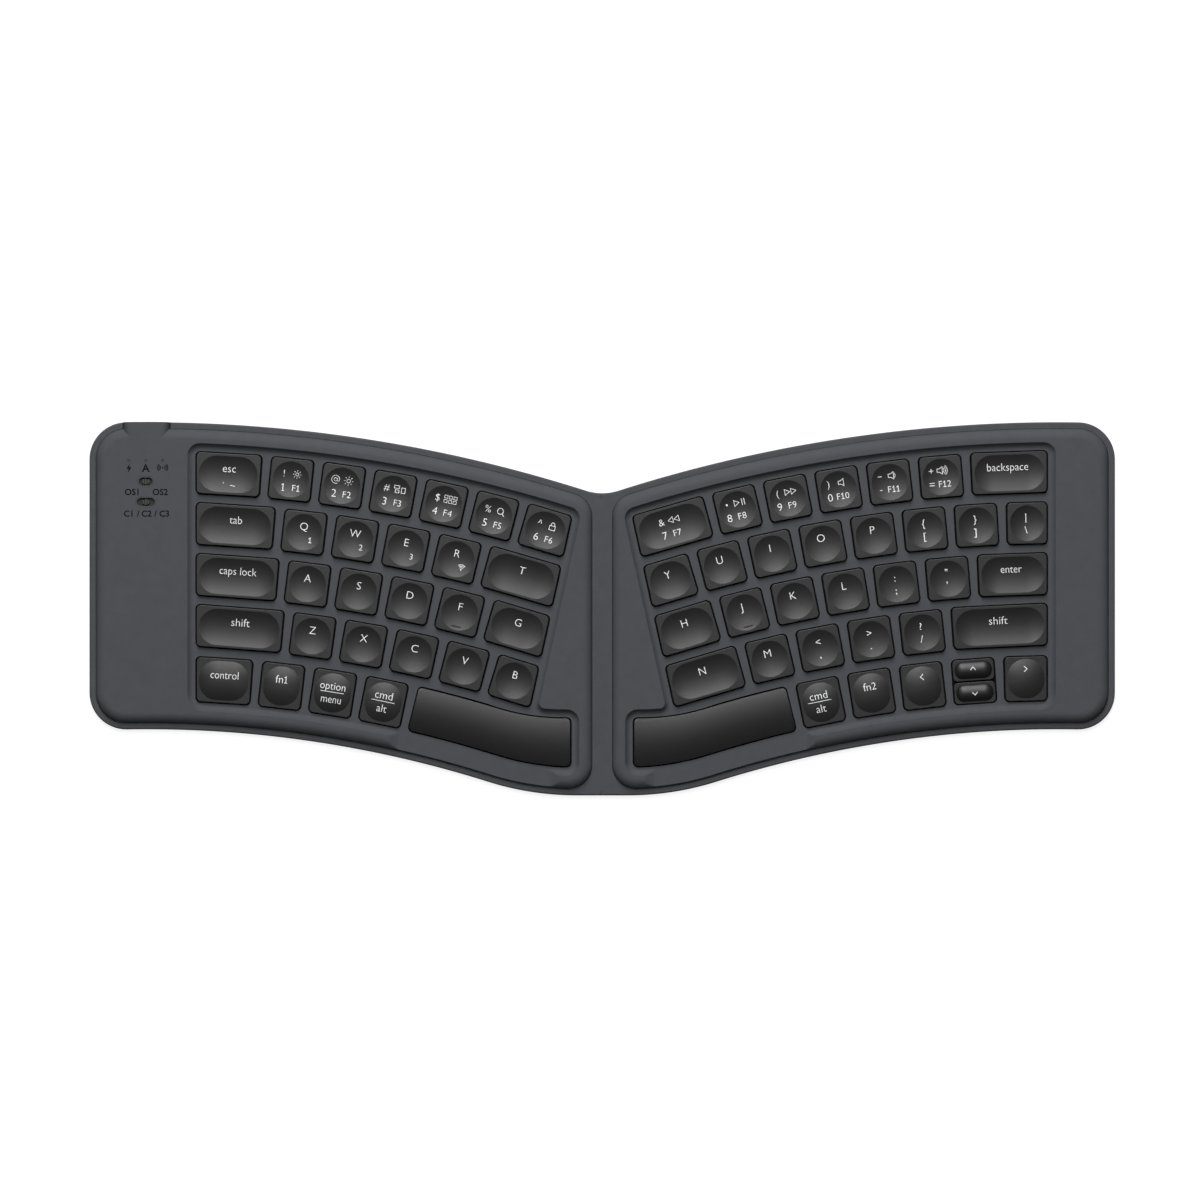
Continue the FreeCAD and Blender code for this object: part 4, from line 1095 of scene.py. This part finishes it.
# Words with their widths
WORDS = {
    "key_escape": ("esc", 4.7),
    "key_tab": ("tab", 4.5),
    "key_caps_lock": ("caps lock", 13.4),
    "key_left_shift": ("shift", 6.7),
    "key_control": ("control", 10.1),
    "key_backspace": ("backspace", 14.9),
    "key_enter": ("enter", 7.6),
    "key_right_shift": ("shift", 6.7),
}
STACKS = {
    "key_option": (("option", 9.2), ("menu", 7.2)),
    "key_command_left": (("cmd", 6.4), ("alt", 3.6)),
    "key_command_right": (("cmd", 6.4), ("alt", 3.6)),
}
FUNCTIONS = {"key_function_left": "1", "key_function_right": "2"}
# The way each arrow points and its place
ARROWS = {
    "key_arrow_left": (180, 3.3j),
    "key_arrow_right": (0, -0.1 + 3.6j),
    "key_arrow_up": (90, -0.2 + 0.6j),
    "key_arrow_down": (-90, -0.05 - 0.3j),
}
EXTRAS = {"Q": "1", "W": "2", "E": "3"}


# Places of the marks from the middle of their key: in the number row the outer and the inner
# column and the two lines, elsewhere a shift along X and a line
NUMBER_SPOTS = {"left": (-2.6, 2.15, 2.0j, -3.05j), "right": (-3.45, 1.2, 2.3j, -2.65j)}
LETTER_SHIFT = {"left": -0.2, "right": -0.45}
WORD_SHIFT = {"left": 0.25, "right": -0.6}
SPOT = SimpleNamespace(
    letter=2.05j,
    word=2.1j,
    function=2.4j,
    upper_word=2.55j,
    rule=0.35j,
    lower_word=-2.25j,
    upper_sign=2.2j,
    upper_bar=2.3j,
    lower_sign=-2.4j,
    grave=-1.6 - 4.2j,
    tilde=1.8 - 3.8j,
    extra=2.5 - 2.7j,
    fan=2.5 - 2.6j,
)


def word(text, width):
    return stretched(lettering(text, WORD), width)


def number_marks(label, side):
    """The four marks of a key in the number row, in two columns and two rows."""
    upper, icon = NUMBER_MARKS[label]
    number, name = label[-1], f"F{list(NUMBER_MARKS).index(label) + 1}"
    outer, inner, rear, front = NUMBER_SPOTS[side]
    sign = lettering(upper, SMALL) if isinstance(upper, str) else printed(upper)
    digit = printed(dash(1.0)) if number == "-" else figures(number, LETTER)
    return [
        (sign, outer + rear),
        (printed(icon), inner + rear),
        (digit, outer + front),
        (figures(name, NAME), inner + front),
    ]


def marks_of(key, side):
    """The marks on a key: each with its place from the key's middle."""
    label, shift = key.label, LETTER_SHIFT[side]
    if label in NUMBER_MARKS:
        return number_marks(label, side)
    if label in FUNCTIONS:
        name = side_by_side(word("fn", 2.7), figures(FUNCTIONS[label], FIGURE))
        return [(name, shift + SPOT.function)]
    if label in WORDS:
        found = [(word(*WORDS[label]), WORD_SHIFT[side] + SPOT.word)]
        if label == "key_escape":
            found.append((lettering("`", LETTER), SPOT.grave))
            found.append((stretched(lettering("~", LETTER), 1.9), SPOT.tilde))
        return found
    if label in STACKS:
        upper, lower = STACKS[label]
        parts = ((word(*upper), SPOT.upper_word), (printed(rule()), SPOT.rule))
        parts += ((word(*lower), SPOT.lower_word),)
        return [(mark, shift + place) for mark, place in parts]
    if label in ARROWS:
        angle, place = ARROWS[label]
        return [(printed(chevron(angle, 0.95 if key.shape == "pill" else 1.05)), place)]
    if label in PAIRS:
        is_slash = label == "key_backslash"
        upper = (PAIRS[label], SPOT.upper_bar if is_slash else SPOT.upper_sign)
        signs = (upper, ("\\" if is_slash else label, SPOT.lower_sign))
        return [(lettering(sign, SMALL, SIGN), shift + place) for sign, place in signs]
    if key.shape == "bar":
        return []
    found = [(lettering(label[-1].upper(), LETTER), shift + SPOT.letter)]
    if label in EXTRAS:
        found.append((figures(EXTRAS[label], EXTRA), SPOT.extra))
    if label == "R":
        found.append((printed(fan()), SPOT.fan))
    return found


def build_keys():
    caps, inks = {}, {}
    for side in ("left", "right"):
        for key, body in half_keys(side):
            cap = keycap(key).facing(side)
            surface = BVHTree.FromPolygons([Vector(p) for p in cap.points], cap.faces)
            caps.setdefault(body, Shell()).add(cap.points, cap.faces)
            for mark, spot in marks_of(key, side):
                ink = inks.setdefault(body, Ink())
                ink.lay(mark, lambda p: on_key(key, side, p + spot), surface)
    for body, shell in caps.items():
        made = dress(shell.solid("cap_" + body, sharp=28.0), cap_plastic)
        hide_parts(body)
        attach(made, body)
    for body, ink in inks.items():
        made = dress(ink.solid("legend_" + body), white_ink)
        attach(made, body)


# Mechanism under the keys

ROOF_GAP = 0.08


def build_mechanism(kind, side, material):
    """The domes or links of one half, a piece under the keys of each body, each carried by the
    half.
    """
    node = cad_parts[f"{kind}_{side}"]
    keys = half_keys(side)
    middles = np.array([on_key(key, side, 0) for key, _ in keys])
    spots = np.array([tuple(node.matrix_world @ v.co) for v in node.data.vertices]) / MM
    found = {}
    for face in node.data.polygons:
        corners = list(face.vertices)
        middle = spots[corners, :2].mean(0) @ (1, 1j)
        found.setdefault(int(abs(middles - middle).argmin()), []).append(corners)
    pieces = {}
    for index, faces in found.items():
        key, body = keys[index]
        used = sorted({i for face in faces for i in face})
        points = spots[used]
        room = (ceiling_of(key) - ROOF_GAP - Z.circuit) / (points[:, 2].max() - Z.circuit)
        points[:, 2] = Z.circuit + (points[:, 2] - Z.circuit) * min(1.0, room)
        place = {old: new for new, old in enumerate(used)}
        local = [[place[i] for i in face] for face in faces]
        pieces.setdefault(body, Shell()).add([tuple(point) for point in points], local)
    for body, shell in pieces.items():
        height = max(point[2] for point in shell.points) - Z.circuit
        made = dress(shell.solid(f"{kind}_{body}", sharp=30.0), material)
        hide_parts(node.name)
        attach(made, side + "_half")
        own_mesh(made)


# Housing

BOSS_FLARE = 18.0
BOSS_RUN = 0.45
BOSS_SIDE = 3
BOSS_PINCH = 5
WELL_RADII = [1.2, 1.2, 5.3, 1.0, 1.0, 2.7, 0]
# Pairs of inset and height: down a slot, a lamp's hole (radius and height) and a key's mouth
SLOT_STEPS = (
    (-0.54, Z.panel),
    (-0.49, Z.panel - 0.1),
    (-0.44, Z.panel - 0.02),
    (-0.05, Z.panel - 0.04),
    (0.0, Z.panel - 0.1),
    (0.0, Z.skin_under),
)
LAMP_STEPS = ((0.57, Z.panel), (0.56, Z.panel - 0.02), (0.56, Z.skin_under))
MOUTH_STEPS = (
    (-MOUTH_GAP - 0.12, Z.deck),
    (-MOUTH_GAP - 0.04, Z.deck - 0.03),
    (-MOUTH_GAP, Z.deck - 0.12),
    (-MOUTH_GAP, Z.deck_under),
)
ROOM_RADII = [0, 0, 7.5, 7.5]
ROOM_MIDDLE = -155.0
NO_CAP = 99.0


def boss_flank(inset, way):
    """A side of the block round the port, which flares towards the rear at its top."""
    lean = BOSS_FLARE * min(1.0, inset / d.edge_run)
    reach = d.boss_width / 2 + inset * (1 / math.cos(math.radians(lean)) - BOSS_RUN)
    return straight(complex(way * reach - d.controls_x, REAR_Y), way * (90 - lean))


def panel_walk(inset, plan=None, boss=False):
    """The housing's outline. The block round the port reaches the rear edge at any inset."""
    rear = bow(d.rear_radius - d.flange_width, 1)
    corner_radius = d.corner_radius - d.flange_width
    sides = [straight(PANEL_INNER_X, 90), rear]
    radii = [d.inner_corner_radius, d.inner_corner_radius]
    if boss:
        end = bow(d.rear_radius + inset, 1)
        sides += [boss_flank(inset, 1), end, boss_flank(inset, -1), rear]
        radii += [0, 0, 0, 0]
    sides += [
        straight(-d.half_width + d.flange_width, -90),
        bow(d.front_radius + d.flange_width, -1),
        front_bend(d.flange_width),
    ]
    radii += [corner_radius, corner_radius, 0]
    pinch = BOSS_PINCH if boss else None
    return walk(sides, radii, MIDDLE, inset, plan, step=1.1, arc=16, pinch=pinch)


def edge_profile():
    """Inset and height up the rounded side, an arc that ends level with the top."""
    lean = math.radians(d.edge_lean)
    radius = d.edge_run / math.sin(lean)
    points = []
    for k in range(15):
        a = lean * (1 - k / 14)
        points.append((d.edge_run - radius * math.sin(a), Z.panel - radius * (1 - math.cos(a))))
    return [(0.0, points[0][1] - 0.1), *points, (d.edge_run + 0.2, Z.panel)]


def well_levels(side):
    """The key well: a lip, a smooth wall and the start of the deck."""
    front = row_radius(5) - d.thumb_key_depth / 2
    sides = [
        straight(-d.space_end_x, 90),
        space_rear_bend(),
        slant(),
        bow(row_radius(1) + d.key_depth / 2, 1),
        outer_end(side),
        bow(front, -1),
        front_bend(front - d.front_radius),
    ]
    steps = [(0.4, Z.panel), (0.25, Z.panel), (0.1, Z.panel - 0.03)]
    for t in np.linspace(0.0, 1.0, 11):
        left_over = (1 - t) ** d.bay_wall_power
        steps.append((-d.bay_wall_run * t, Z.deck + (Z.panel - 0.1 - Z.deck) * left_over))
    steps.append((-d.bay_wall_run - 0.1, Z.deck))
    outline = partial(walk, sides, WELL_RADII, MIDDLE, step=1.1, arc=10)
    return levels(outline, [(-d.bay_margin - out, z) for out, z in steps], base=-d.bay_margin)


def lowered(steps):
    """Outlines kept below the rim ahead of the space bar, which is cut down to the deck."""
    found = []
    for points, z in steps:
        outer = smooth((-d.thumb_cut_outer - points.real) / d.thumb_cut_slope)
        inner = smooth((points.real + d.thumb_cut_inner) / d.thumb_cut_slope)
        cap = Z.deck + (Z.panel - Z.deck) * np.maximum(outer, inner)
        ahead = abs(points - BOW) < row_radius(5)
        found.append((points, np.minimum(z, np.where(ahead, cap, NO_CAP))))
    return found


def slot_levels(y, length):
    size = (length, d.slot_width, d.slot_width / 2 - 0.01)
    outline = partial(tablet, complex(-d.controls_x, y), *size, step=0.8, arc=10)
    return levels(outline, SLOT_STEPS)


def lamp_levels(steps, count=32):
    """Round outlines at each of the three lights."""
    for i in (-1, 0, 1):
        middle = complex(i * d.lamp_pitch - d.controls_x, d.lamp_y)
        yield [(circle(middle, radius, count), z) for radius, z in steps]


def mouth_levels(key):
    """A key's opening in the deck, a little wider at its two sides."""
    ends = [inward(s, -SIDE_GAP) if i % 2 == 0 else s for i, s in enumerate(key.sides)]
    outline = partial(walk, ends, d.key_corner, key.middle, step=1.6, arc=7)
    return levels(outline, MOUTH_STEPS, base=-MOUTH_GAP)


def room_outline():
    """The space under the controls."""
    inset = d.flange_width + d.edge_run + 0.1
    sides = [
        straight(-d.left_keys_edge - d.bay_margin - d.housing_wall, 90),
        bow(d.rear_radius - inset, 1),
        straight(-d.half_width + inset, -90),
        bow(d.front_radius + inset, -1),
    ]
    return walk(sides, ROOM_RADII, ROOM_MIDDLE, step=2.0)[0]


def build_housing(side):
    left = side == "left"
    shell = Shell()
    _, plan, spans = panel_walk(0.0, boss=left)
    first = spans[BOSS_SIDE]
    gap = range(first, first + plan[BOSS_SIDE][1]) if left else ()
    profile = [(0.0, Z.recess), (0.0, Z.flange - 0.1), *edge_profile()]
    outside = levels(partial(panel_walk, boss=left), profile)
    rings = shell.tube(lowered(outside), gap)
    wall = shell.tube(lowered(well_levels(side)))

    # Top, with the slots and the holes for the lights
    holes = []
    if left:
        holes = [shell.tube(slot_levels(d.mode_y, d.mode_slot))]
        holes.append(shell.tube(slot_levels(d.system_y, d.system_slot)))
        holes += [shell.tube(steps) for steps in lamp_levels(LAMP_STEPS)]
    shell.fill([rings[-1], wall[0], *(hole[0] for hole in holes)])

    # Deck, with an opening for each key and one for the pair of half keys
    keys = {key.label: key for key, _ in half_keys(side)}
    if keys.pop("key_arrow_down", None):
        keys["key_arrow_up"] = square_key("pair", 5, THUMB_FIRST - d.key_pitch)
    mouths = [shell.tube(mouth_levels(key)) for key in keys.values()]
    shell.fill([wall[-1], *(mouth[0] for mouth in mouths)])

    # Underside: a rim that stands on the cover, and the soffit of the deck
    inside = ((d.housing_wall, Z.deck_under), (d.housing_wall, Z.recess))
    soffit, foot = shell.tube(levels(panel_walk, inside))
    shell.fill([rings[0], foot], up=False)
    under = [soffit, *(mouth[-1] for mouth in mouths)]
    if left:
        room = room_outline()
        roof, floor = shell.tube([(room, Z.skin_under), (room, Z.deck_under)])
        under.append(floor)
        shell.fill([roof, *(hole[-1] for hole in holes)], up=False)
        build_port_face(shell, rings, gap)
    shell.fill(under, up=False)
    solid = shell.facing(side).solid("housing_" + side, sharp=17.0)
    made = dress(solid, soft_touch)
    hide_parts("top_frame_" + side)
    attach(made, side + "_half")


PORT_Z = Z.circuit + d.port_height / 2
PORT_MIDDLE = complex(-d.controls_x, PORT_Z)
# Pairs of inset and distance from the rear edge
PORT_MOUTH_STEPS = ((-0.45, 0.0), (-0.15, -0.3), (-0.12, -7.6))
PORT_STEPS = ((0.0, -7.2), (0.0, 0.0), (0.05, 0.03), (0.25, 0.03), (0.3, -0.05), (0.3, -6.2))
TONGUE_STEPS = ((0.12, -0.9), (0.0, -1.1), (0.0, -6.3))
PORT_DEPTH = 0.25
PORT_SIZE = (d.port_width, d.port_height, d.port_height / 2 - 0.01)
TONGUE_SIZE = (6.7, 0.7, 0.25)
port_walk = partial(tablet, PORT_MIDDLE, *PORT_SIZE, step=1.5, arc=10)
tongue_walk = partial(tablet, PORT_MIDDLE, *TONGUE_SIZE, step=2.0, arc=5)


def upright_rings(shell, outline, steps, rear, base=0.0):
    return [shell.ring(flat, rear + y, upright=True) for flat, y in levels(outline, steps, base)]


def build_port_face(shell, rings, gap):
    """The rear face of the block round the port, with the port's mouth through it."""
    right_edge = [ring[gap.start] for ring in rings]
    left_edge = [ring[gap.stop] for ring in rings]
    bottom, top = (ring[gap.start : gap.stop + 1] for ring in (rings[0], rings[-1]))
    loop = bottom + left_edge[1:-1] + top[::-1] + right_edge[-2:0:-1]
    mouth = upright_rings(shell, port_walk, PORT_MOUTH_STEPS, REAR_Y, base=-0.35)
    shell.join(mouth[::-1])
    shell.fill([loop, mouth[0]], up=False, axes=(0, 2))


# Cover

COVER_RADII = [0, 0, 0, d.corner_radius, d.corner_radius, 0, 0]
COVER_EDGE = 0.7
COVER_SHARP = 40.0
BOSS_GAP_SPARE, BOSS_GAP_DEPTH = 0.3, 5.6
# Pairs of inset and height down into the bed of a housing
BED_STEPS = (
    (-0.35, Z.flange),
    (-0.2, Z.flange),
    (-0.09, Z.flange - 0.03),
    (-0.05, Z.flange - 0.1),
    (-0.05, Z.recess),
)
# The stretch of the cover between a half and the spine where the real cover bends, and where the
# mesh is cut across there
BEND_START, BEND_END = 3.62, 3.08
FOLD_CUTS = np.linspace(3.7, 3.0, 13)


def cover_walk(inset, plan=None):
    """Half of the cover, from the middle of the spine, which is no edge and has no inset."""
    rise = math.sqrt((d.rear_radius + d.valley_radius) ** 2 - BOW.real**2)
    sides = [
        straight(inset, 90),
        Round(complex(0, BOW.imag + rise), d.valley_radius, -1),
        bow(d.rear_radius, 1),
        straight(-d.half_width, -90),
        bow(d.front_radius, -1),
        front_bend(0),
        straight(FRONT_Y * 1j, 0),
    ]
    return walk(sides, COVER_RADII, MIDDLE, inset, plan, step=1.3, arc=16)


def cover_profile():
    """Inset and height up the side of the cover, round above and below."""
    middle, lift = (Z.cover + Z.flange) / 2, (Z.flange - Z.cover) / 2 - COVER_EDGE
    profile = []
    for k in range(-6, 7):
        a = math.pi / 2 * k / 6
        z = middle + lift * np.sign(k) + COVER_EDGE * math.sin(a)
        profile.append((COVER_EDGE * (1 - math.cos(a)), z))
    return [*profile, (COVER_EDGE + 0.15, Z.flange)]


def build_cover(side):
    shell = Shell()
    rings = shell.tube(levels(cover_walk, cover_profile()))
    bed = shell.tube(levels(panel_walk, BED_STEPS))
    shell.fill([rings[0]], up=False)
    shell.fill([rings[-1], bed[0]])
    shell.fill([bed[-1]])
    made = shell.facing(side).solid("cover_skin_" + side, sharp=COVER_SHARP)
    flip = -1 if side == "left" else 1
    if side == "left":
        cut_boss_gap(made)
        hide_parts("cover_left", "cover_spine")
    else:
        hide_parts("cover_right")
    with edited(made.data) as bm:
        for x in FOLD_CUTS:
            cut_across(bm, (flip * x * MM, 0, 0), (1, 0, 0), 1e-7)
    dress(made, skin)
    start, end = (flip * BEND_START * MM, 0, 0), (flip * BEND_END * MM, 0, 0)
    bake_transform(made)
    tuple(start)
    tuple(end)


def cut_boss_gap(cover):
    """The block round the port stands in a gap of the flange."""
    shell = Shell()
    middle = complex(-d.controls_x, REAR_Y)
    flat = tablet(middle, d.boss_width + BOSS_GAP_SPARE, BOSS_GAP_DEPTH, 0, step=5.0)[0]
    shell.stack([(flat, Z.recess), (flat, Z.panel)])
    cutter = shell.solid("boss_gap")
    cover.modifiers.clear()
    trim = cover.modifiers.new("gap", "BOOLEAN")
    trim.operation = "DIFFERENCE"
    trim.solver = "EXACT"
    trim.object = cutter
    depsgraph = bpy.context.evaluated_depsgraph_get()
    cover.data = bpy.data.meshes.new_from_object(cover.evaluated_get(depsgraph))
    cover.modifiers.clear()
    bpy.data.objects.remove(cutter)
    shade(cover, COVER_SHARP)


# Small parts

# Pairs of radius or inset and height
FOOT_STEPS = (
    (d.foot_radius - 0.9, 0.04),
    (d.foot_radius - 0.7, 0.0),
    (d.foot_radius - 0.25, 0.0),
    (d.foot_radius - 0.07, 0.07),
    (d.foot_radius, 0.25),
    (d.foot_radius, 0.8),
)
PIPE_STEPS = ((0.54, 3.4), (0.54, 5.64), (0.3, 5.65), (0.1, 5.65))
LIGHT_BAR = (14.6, 2.4, 0.4)
LIGHT_BAR_LEVELS = (3.3, 4.1)
PLATE_LAP = (0.8, 1.4)
PLATE_LEVELS = (4.3, 4.6)
KNOB_SIZE = (3.0, 2.25, 1.1)
KNOB_STEPS = ((0.0, 4.55), (0.0, 4.85), (0.1, 4.95))
GRIP_STEPS = ((0.0, 4.85), (0.0, 5.22), (0.05, 5.28), (0.12, 5.3))
GRIP_PITCH = 0.92
GRIP_WIDTH, GRIP_CORNER = 0.58, 0.25
GRIP_DEPTHS = (1.5, 2.1, 1.5)


def foot_places():
    for x in (-d.half_width + d.foot_inset, CREASE_X - d.foot_inset):
        for radius, inset in ((d.rear_radius, -d.foot_inset), (d.front_radius, d.foot_inset)):
            rise = math.sqrt(radius**2 - (x - BOW.real) ** 2)
            yield complex(x, BOW.imag + rise + inset)


def build_feet(side):
    shell = Shell()
    for place in foot_places():
        shell.stack([(circle(place, radius, 40), z) for radius, z in FOOT_STEPS])
    solid = shell.facing(side).solid("foot_pads_" + side, sharp=50.0)
    made = dress(solid, foot_rubber)
    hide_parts("feet_" + side)
    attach(made, side + "_half")


def build_lights():
    shell = Shell()
    for steps in lamp_levels(PIPE_STEPS, 24):
        shell.stack(steps)
    bar = tablet(complex(-d.controls_x, d.lamp_y), *LIGHT_BAR, arc=4)[0]
    shell.stack([(bar, z) for z in LIGHT_BAR_LEVELS])
    made = dress(shell.solid("light_pipes"), lens)
    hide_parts("indicator_lights")
    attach(made, "left_half")


def build_slider(name, y, slot, travel):
    """A knob with round ends and three grip ridges, on a plate that always fills the slot. The
    plate and the knob's base are a darker copy of the ridges' plastic: painted shade in the slot
    and between the ridges.
    """
    middle = complex(-d.controls_x, y)
    base, grips = Shell(), Shell()
    plate = tablet(middle, slot + travel + PLATE_LAP[0], d.slot_width + PLATE_LAP[1], 0.2, arc=3)[0]
    base.stack([(plate, z) for z in PLATE_LEVELS])
    base.stack(levels(partial(tablet, middle, *KNOB_SIZE, step=0.5, arc=8), KNOB_STEPS))
    for place, depth in zip((-GRIP_PITCH, 0, GRIP_PITCH), GRIP_DEPTHS):
        size = (GRIP_WIDTH, depth, GRIP_CORNER)
        ridge = partial(tablet, middle + place, *size, step=0.5, arc=4)
        grips.stack(levels(ridge, GRIP_STEPS))
    # The plate and the knob's base are darker than the ridges as painted shade.
    made = dress(base.solid(name + "_knob", sharp=45.0), slider_painted_shade)
    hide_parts(name)
    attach(made, name)
    made = dress(grips.solid(name + "_grips", sharp=45.0), slider_plastic)
    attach(made, name)


def build_port():
    shell = Shell()
    rings = upright_rings(shell, port_walk, PORT_STEPS, REAR_Y - PORT_DEPTH)
    shell.join(rings[::-1])
    shell.fill([rings[0]], up=True, axes=(0, 2))
    shell.fill([rings[-1]], up=False, axes=(0, 2))
    made = dress(shell.solid("port_shell", sharp=50.0), port_steel)
    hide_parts("usb_c_port")
    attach(made, "left_half")


def build_tongue():
    shell = Shell()
    rings = upright_rings(shell, tongue_walk, TONGUE_STEPS, REAR_Y - PORT_DEPTH)
    shell.join(rings)
    shell.fill([rings[0]], up=False, axes=(0, 2))
    made = dress(shell.solid("port_tongue"), tongue_plastic)
    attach(made, "left_half")


# Places of the printed marks: their rows, and where each stands along them
LIGHT_ROW = 50.964j
SYSTEM_ROW = 42.3027j
CHANNEL_ROW = 34.4749j
BOLT_X, LETTER_X, RADIO_SPOT = -171.4829, -165.3947, -159.2701 + 51.1814j
SYSTEM_X = {"OS1": -170.2508, "OS2": -160.1761}
CHANNEL_X = {"C1": -171.5192, "C2": -165.1047, "C3": -158.6541}
SLASH_X = (-168.1489, -161.8432)
PRINT_HEIGHTS = SimpleNamespace(letter=2.6, system=2.1, channel=2.05)


def build_print():
    """Dark marks printed beside the lights and the switches."""
    ink = Ink()
    corners = [Vector((x * d.half_width, y * d.half_width, Z.panel)) for x, y in SQUARE]
    surface = BVHTree.FromPolygons(corners, [(0, 1, 2, 3)])
    marks = [
        (printed(lightning()), BOLT_X + LIGHT_ROW),
        (lettering("A", PRINT_HEIGHTS.letter, BOLD), LETTER_X + LIGHT_ROW),
        (printed(radio_waves()), RADIO_SPOT),
    ]
    for text, x in SYSTEM_X.items():
        marks.append((lettering(text, PRINT_HEIGHTS.system, BOLD), x + SYSTEM_ROW))
    for text, x in [*CHANNEL_X.items(), *(("/", x) for x in SLASH_X)]:
        marks.append((lettering(text, PRINT_HEIGHTS.channel, BOLD), x + CHANNEL_ROW))
    for mark, spot in marks:
        ink.lay(mark, lambda p: p + spot, surface)
    made = dress(ink.solid("printed_marks"), dark_ink)
    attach(made, "left_half")


for half in ("left", "right"):
    build_housing(half)
    build_cover(half)
    build_feet(half)
    build_mechanism("rubber_domes", half, dome_rubber)
    build_mechanism("scissor_links", half, link_nylon)
build_keys()
build_lights()
build_slider("mode_slider", d.mode_y, d.mode_slot, travel=1.6)
build_slider("system_slider", d.system_y, d.system_slot, travel=3.2)
build_port()
build_tongue()
build_print()

# Stage, light and camera

FLOOR_REACH = 4.0
FLOOR_PLAIN, FLOOR_SEEN, FLOOR_GLOW = 0.22, 0.25, 0.86
FOCAL_LENGTH, SENSOR = 200.0, 36.0
FRAME_WIDTH = 434.87715
VIEW_MIDDLE = -0.7937 + 3.2j

scene = bpy.context.scene
scene.view_settings.view_transform = "Standard"


def seen_directly(tree):
    """One for rays from the camera and for those that metal and glass send on."""
    path = add_node(tree, "LightPath")
    share = path["Is Camera Ray"]
    for kind in ("Is Glossy Ray", "Is Transmission Ray"):
        share = add_node(tree, "Math", {0: share, 1: path[kind]}, "MAXIMUM")[0]
    return share


def floor_material():
    """Plain grey for the light it sends on, and near white where it is seen."""
    made = bpy.data.materials.new("pale_floor")
    made.use_nodes = True
    tree = made.node_tree
    tree.nodes.remove(tree.nodes["Principled BSDF"])
    plain = add_node(tree, "BsdfDiffuse", {"Color": (*grey(FLOOR_PLAIN), 1.0)})[0]
    seen = add_node(tree, "BsdfDiffuse", {"Color": (*grey(FLOOR_SEEN), 1.0)})[0]
    glow = add_node(tree, "Emission", {"Strength": FLOOR_GLOW})[0]
    both = add_node(tree, "AddShader", {0: seen, 1: glow})[0]
    pick = add_node(tree, "MixShader", {0: seen_directly(tree), 1: plain, 2: both})[0]
    feed(tree, tree.nodes["Material Output"].inputs["Surface"], pick)
    return made


def build_floor():
    mesh = bpy.data.meshes.new("floor")
    corners = [(x * FLOOR_REACH, y * FLOOR_REACH, 0) for x, y in SQUARE]
    mesh.from_pydata(corners, [], [(0, 1, 2, 3)])
    floor = bpy.data.objects.new("floor", mesh)
    scene.collection.objects.link(floor)
    floor.data.materials.append(floor_material())


def area_light(name, back, tilt, distance, width, height, power):
    """A soft panel that looks at the middle of the keyboard, tilted from straight above.

    It stands behind the keyboard, turned to the left by the angle back.
    """
    lamp = bpy.data.lights.new(name, "AREA")
    lamp.shape = "RECTANGLE"
    lamp.size, lamp.size_y = width, height
    lamp.energy = power
    made = bpy.data.objects.new(name, lamp)
    a, b = math.radians(tilt), math.radians(back)
    way = Vector((-math.sin(b) * math.sin(a), math.cos(b) * math.sin(a), math.cos(a)))
    made.location = way * distance
    made.rotation_mode = "QUATERNION"
    made.rotation_quaternion = way.to_track_quat("Z", "Y")
    scene.collection.objects.link(made)


def build_world():
    """A dim room, darker above, which the camera sees as white."""
    world = bpy.data.worlds.new("studio")
    scene.world = world
    world.use_nodes = True
    tree = world.node_tree
    room = tree.nodes["Background"]
    place = add_node(tree, "TexCoord")["Generated"]
    height = add_node(tree, "SeparateXYZ", {0: place})["Z"]
    shades = colour_ramp(tree, height, (0.12, 0.45), (grey(0.16), grey(0.03)))
    feed(tree, room.inputs["Color"], shades)
    white = add_node(tree, "Background", {"Color": (1, 1, 1, 1), "Strength": 1.0})[0]
    is_camera = add_node(tree, "LightPath")["Is Camera Ray"]
    pick = add_node(tree, "MixShader", {0: is_camera, 1: room.outputs[0], 2: white})[0]
    feed(tree, tree.nodes["World Output"].inputs["Surface"], pick)


def build_camera():
    camera = bpy.data.cameras.new("camera")
    camera.lens, camera.sensor_width = FOCAL_LENGTH, SENSOR
    camera.clip_start, camera.clip_end = 0.1, 20.0
    made = bpy.data.objects.new("camera", camera)
    height = Z.key + FRAME_WIDTH * FOCAL_LENGTH / SENSOR
    made.location = (VIEW_MIDDLE.real * MM, VIEW_MIDDLE.imag * MM, height * MM)
    scene.collection.objects.link(made)
    scene.camera = made


build_floor()
build_world()
area_light("rear_panel", back=6.0, tilt=39.0, distance=1.7, width=0.7, height=1.75, power=39.0)
build_camera()
